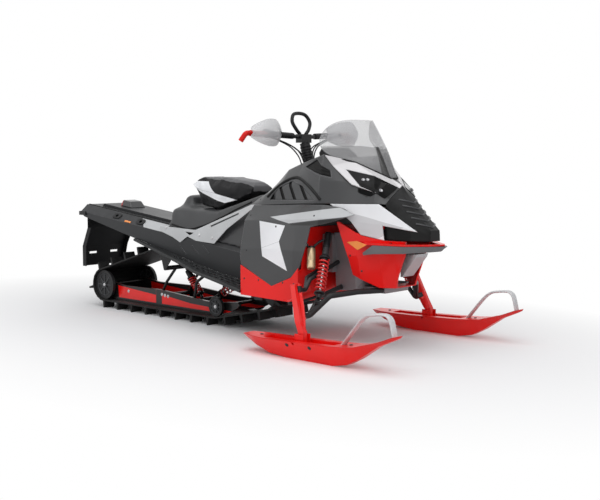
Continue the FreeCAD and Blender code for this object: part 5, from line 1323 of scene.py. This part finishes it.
class SNOWMOBILE_OT_lamps(bpy.types.Operator):
    """Makes the lamp bowls, the visors over them, the nose slats and the reflectors"""
    bl_idname = "snowmobile.lamps"
    bl_label = "Lamps and nose"

    def execute(self, context):
        built_piece("lamp_bowls", self.bowls, "lamp chrome", "chassis")
        visors = joined([self.visor(side) for side in BOTH])
        new_piece("lamp_visors", visors, "lamp glass", "chassis")
        paths = []
        for z in NOSE_SLATS:
            half = NOSE_SLAT_HALF * (1.0 - NOSE_TAPER * abs(z - NOSE_MIDDLE))
            starts = [(2.0, half * (k / 5 - 1), z + NOSE_RISE * abs(k / 5 - 1)) for k in range(11)]
            paths.append([on_surface("nose", start, (-1, 0, 0))[0] + Vector((0.001, 0, 0))
                          for start in starts])
        # Charcoal slats, lighter than the black nose: a painted highlight along them
        line_piece("nose_slats", "slats", paths, "charcoal plastic", "chassis", Width=0.008, Depth=0.008)
        lenses = rounded(mesh_from(self.lenses), 0.0008)
        new_piece("reflectors", lenses, "orange reflector", "chassis")
        return {"FINISHED"}

    def bowls(self, shape):
        for side in BOTH:
            for place, radius, facing in LAMP_SPOTS:
                place, facing = (Vector(p) for p in mirrored((place, facing), side))
                lathe(shape, place, place + facing, [
                    (-0.006, radius), (0.0035, radius), (0.0040, radius * 0.9), (0.0010, radius * 0.5),
                    (0.0005, radius * 0.08)])

    def visor(self, side):
        lines = [spread([Vector((x, side * y, 2.0)) for x, y in row], VISOR_COUNT) for row in VISOR_ROWS]
        rows = []
        for line in zip(*lines):
            found = [on_surface("hood+headlamps", p, (0, 0, -1)) for p in spread(line, VISOR_COUNT)]
            rows.append([place + facing * VISOR_LIFT for place, facing in found])
        return sheet_mesh(rows, VISOR_THICKNESS, 1)

    def lenses(self, shape):
        for side in BOTH:
            flat = [on_surface("belly_nose", (x, side, z), (0, -side, 0))[0] for x, z in BELLY_REFLECTOR]
            prism(shape, flat, (0, side * 0.003, 0))
            flat = [on_surface("tunnel", (x, side * y, 1.0), (0, 0, -1))[0] for x, y in TUNNEL_REFLECTOR]
            prism(shape, flat, (0, side * 0.002, 0.0023))


# Lines of the handlebar's control cables, from the near hand control to the post
CABLES = (((0.402, -0.265, 1.119), (0.403, -0.205, 1.104), (0.412, -0.125, 1.080), (0.432, -0.060, 1.040),
           (0.456, -0.038, 0.970), (0.4865, -0.0225, 0.868)),
          ((0.410, -0.255, 1.118), (0.414, -0.190, 1.098), (0.428, -0.105, 1.066), (0.456, -0.042, 1.010),
           (0.478, -0.033, 0.940), (0.502, -0.016, 0.868)),
          ((0.398, -0.240, 1.116), (0.397, -0.170, 1.094), (0.400, -0.090, 1.062), (0.412, -0.038, 1.010),
           (0.434, -0.027, 0.945), (0.466, -0.013, 0.868)))
# The bar's cover and grip collar, the riser round the post, and half of the grab ring
BAR_COVER = ((0.4165, 0.088, 1.1245), (0.402, 0.232, 1.1315))
GRIP_COLLAR = ((0.398, 0.262, 1.146), (0.396, 0.300, 1.147))
RISER = ((0.4690, 0, 0.933), (0.4236, 0, 1.086))
HALF_RING = [(0.409, 0.024, 1.136), (0.406, 0.052, 1.163), (0.396, 0.073, 1.203), (0.384, 0.056, 1.240),
             (0.379, 0.024, 1.2525)]


class SNOWMOBILE_OT_bar_fittings(bpy.types.Operator):
    """Makes the bar's covers, the riser around the post, the grab ring and the control cables"""
    bl_idname = "snowmobile.bar_fittings"
    bl_label = "Bar fittings"

    def execute(self, context):
        route = flowing(HALF_RING + mirrored(HALF_RING[::-1], -1))
        built_piece("grab_ring_tube", lambda shape: sweep(shape, route, 0.0102, 14), "black plastic",
                    "handlebars", "grab_ring")
        built_piece("bar_covers", self.covers, "black plastic", "handlebars")
        paths = [flowing(mirrored(line, side)) for line in CABLES for side in BOTH]
        line_piece("control_cables", "tubes", paths, "black plastic", "handlebars", Radius=0.0038)
        return {"FINISHED"}

    def covers(self, shape):
        for side in BOTH:
            start, end = mirrored(BAR_COVER, side)
            length = length_of(start, end)
            profile = [(0.0, 0.0125), (0.002, 0.0165)]
            for k in range(8):
                at = 0.012 + k * (length - 0.03) / 8
                profile += [(at, 0.0172), (at + 0.010, 0.0172), (at + 0.0115, 0.0160), (at + 0.0135, 0.0160)]
            profile += [(length - 0.004, 0.0172), (length - 0.001, 0.0125)]
            lathe(shape, start, end, profile, 28)
            lathe(shape, *mirrored(GRIP_COLLAR, side),
                  [(0.0, 0.008), (0.002, 0.0125), (0.036, 0.0125), (0.039, 0.009)], 20)
        length = length_of(*RISER)
        profile = [(0.0, 0.0165), (0.001, 0.0265)]
        for k in range(9):
            at = 0.006 + k * (length - 0.018) / 9
            profile += [(at, 0.0310), (at + 0.008, 0.0310), (at + 0.010, 0.0280), (at + 0.013, 0.0280)]
        profile += [(length - 0.001, 0.0290), (length, 0.0165)]
        lathe(shape, *RISER, profile, 32)


# Fasteners: node, direction of the ray that finds the surface, body, kind, the rays' starts. All are mirrored
# HEAD_SHARE is a head's height as a share of its radius
INWARDS, DOWN = (0, 1, 0), (0, 0, -1)
HEAD_SHARE = 0.55
FASTENERS = (
    ("side_braces", INWARDS, "chassis", "bolt", [(-0.223, -1, 0.545), (-0.108, -1, 0.533),
                                                 (-0.53, -1, 0.575)]),
    ("tunnel", DOWN, "chassis", "rivet", [(TUNNEL_BACK + 0.055 * k, -0.160, 1.0) for k in range(15)]),
    ("snow_flap", (1, 0, 0), "chassis", "bolt", [(-2.0, -0.125, 0.60), (-2.0, -0.045, 0.605)]),
    ("side_panels", INWARDS, "chassis", "rivet", [(0.335, -1, 0.690), (0.345, -1, 0.500), (0.560, -1, 0.640),
                                                  (0.800, -1, 0.705)]),
    ("belly_pan", INWARDS, "chassis", "rivet", [(x, -1, 0.345) for x in (0.33, 0.44, 0.62, 0.70)]),
    ("belly_nose", INWARDS, "chassis", "rivet", [(0.95, -1, 0.500), (1.00, -1, 0.420)]),
    ("belly_pan", (-1, 0, 0), "chassis", "bolt", [(2.0, -0.319, 0.547)]),
    ("hood", INWARDS, "chassis", "rivet", [(0.335, -1, 0.775), (0.80, -1, 0.790)]),
    ("slide_rails", INWARDS, "chassis", "bolt", [(-1.02, -1, 0.125), (-0.674, -1, 0.135), (-0.645, -1, 0.132),
                                                 (-0.615, -1, 0.129), (-0.20, -1, 0.095)]),
    ("ski_right", DOWN, "right_ski", "bolt", [(x, -SKI_Y, 1.0) for x in (0.62, 0.74, 1.10, 1.22)]),
    ("ski_right", INWARDS, "right_ski", "bolt", [(0.86, -1, 0.075), (1.01, -1, 0.078)]),
)


class SNOWMOBILE_OT_fasteners(bpy.types.Operator):
    """Sets bolt and rivet heads on the panels, rails, braces, flap and skis"""
    bl_idname = "snowmobile.fasteners"
    bl_label = "Fasteners"

    def execute(self, context):
        gear = context.scene.snowmobile_gear
        groups = {}
        for node, direction, body, kind, starts in FASTENERS:
            for side, far in ((1, "right"), (-1, "left")):
                skin_node, rider = node.replace("right", far), body.replace("right", far)
                found = [on_surface(skin_node, *mirrored((start, direction), side)) for start in starts]
                groups.setdefault((rider, kind), []).extend(found)
        for (body, kind), spots in sorted(groups.items()):
            radius = gear.bolt_radius if kind == "bolt" else gear.rivet_radius
            bright = kind == "bolt" and body == "chassis"
            paint, slot = ("steel", "silver_metal") if bright else ("black metal", "dark_metal")
            heads = run_recipe(kind, aimed_points(spots), paint, Radius=radius, Height=HEAD_SHARE * radius)
            new_piece(body + "_" + kind + "_heads", heads, paint, body)
        return {"FINISHED"}


# The camera's sensor in mm, and the shadow on the floor: its lengthwise squeeze, and where it starts
# and ends to fade
SENSOR = 36.0
SHADOW_SQUEEZE, SHADOW_FADE = 0.62, (0.75, 2.0)


class SNOWMOBILE_OT_stage(bpy.types.Operator):
    """Makes the pale studio floor, the soft light and the camera of the photograph"""
    bl_idname = "snowmobile.stage"
    bl_label = "Stage"

    def execute(self, context):
        settings = context.scene.snowmobile_stage
        half = settings.floor_size / 2
        mesh = bpy.data.meshes.new("studio_floor")
        corners = [(-half, -half, 0), (half, -half, 0), (half, half, 0), (-half, half, 0)]
        mesh.from_pydata(corners, [], [(0, 1, 2, 3)])
        floor = bpy.data.objects.new("studio_floor", mesh)
        context.scene.collection.objects.link(floor)
        mesh.materials.append(self.floor_material())
        self.world(context.scene)
        middle = (0.0, 0.0, 0.5)
        self.lamp("key_light", 6.0, settings.key_power, (1.0, -1.5, 5.0), middle)
        self.lamp("front_light", 4.0, settings.fill_power, (5.0, -3.0, 2.6), (0.2, 0.0, 0.6))
        self.lamp("side_light", 4.0, settings.fill_power, (-2.0, -5.0, 2.4), middle)
        self.lamp("back_light", 4.0, 0.6 * settings.fill_power, (-3.0, 4.5, 3.0), middle)
        self.camera(context.scene, settings)
        context.scene.view_settings.view_transform = "Standard"
        return {"FINISHED"}

    def camera(self, scene, settings):
        camera = bpy.data.objects.new("photo_camera", bpy.data.cameras.new("photo_camera"))
        scene.collection.objects.link(camera)
        a, e = settings.azimuth, settings.elevation
        back = Vector((math.sin(a) * math.cos(e), -math.cos(a) * math.cos(e), math.sin(e)))
        camera.location = settings.eye
        camera.rotation_mode = "QUATERNION"
        camera.rotation_quaternion = (-back).to_track_quat("-Z", "Y")
        camera.data.lens = settings.lens
        camera.data.sensor_width = SENSOR
        camera.data.clip_end = 200.0
        scene.camera = camera

    def floor_material(self):
        """White where the camera, a mirror or glass sees the open floor, with the machine's shadow on it."""
        made = bpy.data.materials.new("studio floor")
        w = bare_wiring(made)
        plain = w.put("ShaderNodeBsdfDiffuse", (0.88, 0.88, 0.89, 1.0))
        white = w.put("ShaderNodeEmission", (1.0, 1.0, 1.0, 1.0), 1.0)
        parts = w.put("ShaderNodeSeparateXYZ", w.place()).outputs
        along, across = w.sum("MULTIPLY", parts["X"], SHADOW_SQUEEZE), parts["Y"]
        squares = [w.sum("MULTIPLY", way, way) for way in (along, across)]
        reach = w.sum("SQRT", w.sum("ADD", *squares))
        share = w.sum("MULTIPLY", w.ramp(reach, *SHADOW_FADE), self.seen_ray(w))
        w.put("ShaderNodeOutputMaterial", w.put("ShaderNodeMixShader", share, plain, white))
        return made

    def seen_ray(self, w):
        """1 for what the camera, a mirror or glass sees."""
        ray = w.put("ShaderNodeLightPath").outputs
        mirrored_ray = w.sum("MAXIMUM", ray["Is Glossy Ray"], ray["Is Transmission Ray"])
        return w.sum("MAXIMUM", ray["Is Camera Ray"], mirrored_ray)

    def world(self, scene):
        world = bpy.data.worlds.new("studio")
        w = bare_wiring(world)
        soft = w.put("ShaderNodeBackground", (0.95, 0.96, 0.98, 1.0), 0.42)
        white = w.put("ShaderNodeBackground", (1.0, 1.0, 1.0, 1.0), 1.0)
        w.put("ShaderNodeOutputWorld", w.put("ShaderNodeMixShader", self.seen_ray(w), soft, white))
        scene.world = world

    def lamp(self, name, size, power, place, target):
        light = bpy.data.lights.new(name, "AREA")
        light.shape = "SQUARE"
        light.size = size
        light.energy = power
        lamp = bpy.data.objects.new(name, light)
        bpy.context.scene.collection.objects.link(lamp)
        lamp.location = place
        lamp.rotation_mode = "QUATERNION"
        lamp.rotation_quaternion = (Vector(target) - Vector(place)).to_track_quat("-Z", "Y")


class SNOWMOBILE_PT_sidebar(bpy.types.Panel):
    """Lists the snowmobile's sizes, colours and pieces"""
    bl_label = "Snowmobile"
    bl_idname = "SNOWMOBILE_PT_sidebar"
    bl_space_type = "VIEW_3D"
    bl_region_type = "UI"
    bl_category = PANEL_TAB

    def draw(self, context):
        column = self.layout.column()
        for settings in (getattr(context.scene, name) for name in SETTINGS):
            for name in settings.bl_rna.properties.keys():
                if name not in ("rna_type", "name"):
                    column.prop(settings, name)
        for operator in OPERATORS:
            column.operator(operator.bl_idname)


SETTINGS = {"snowmobile_bodywork": BodyworkSettings, "snowmobile_seat": SeatSettings,
            "snowmobile_gear": RunningGearSettings, "snowmobile_stage": StageSettings}
OPERATORS = (SNOWMOBILE_OT_finishes, SNOWMOBILE_OT_stage, SNOWMOBILE_OT_shocks, SNOWMOBILE_OT_wheels,
             SNOWMOBILE_OT_seat, SNOWMOBILE_OT_bodywork, SNOWMOBILE_OT_windshield,
             SNOWMOBILE_OT_hand_guards, SNOWMOBILE_OT_reservoirs, SNOWMOBILE_OT_vents,
             SNOWMOBILE_OT_console, SNOWMOBILE_OT_lamps, SNOWMOBILE_OT_ski_loops,
             SNOWMOBILE_OT_spindle_ribs, SNOWMOBILE_OT_bar_fittings, SNOWMOBILE_OT_fasteners)


def register():
    for kind in (*SETTINGS.values(), *OPERATORS, SNOWMOBILE_PT_sidebar):
        bpy.utils.register_class(kind)
    for name, kind in SETTINGS.items():
        setattr(bpy.types.Scene, name, PointerProperty(type=kind))


def unregister():
    for name in SETTINGS:
        delattr(bpy.types.Scene, name)
    for kind in (SNOWMOBILE_PT_sidebar, *OPERATORS[::-1], *list(SETTINGS.values())[::-1]):
        bpy.utils.unregister_class(kind)


def main():
    register()
    for operator in OPERATORS:
        getattr(bpy.ops.snowmobile, operator.bl_idname.split(".")[1])()


if __name__ == "__main__":
    main()
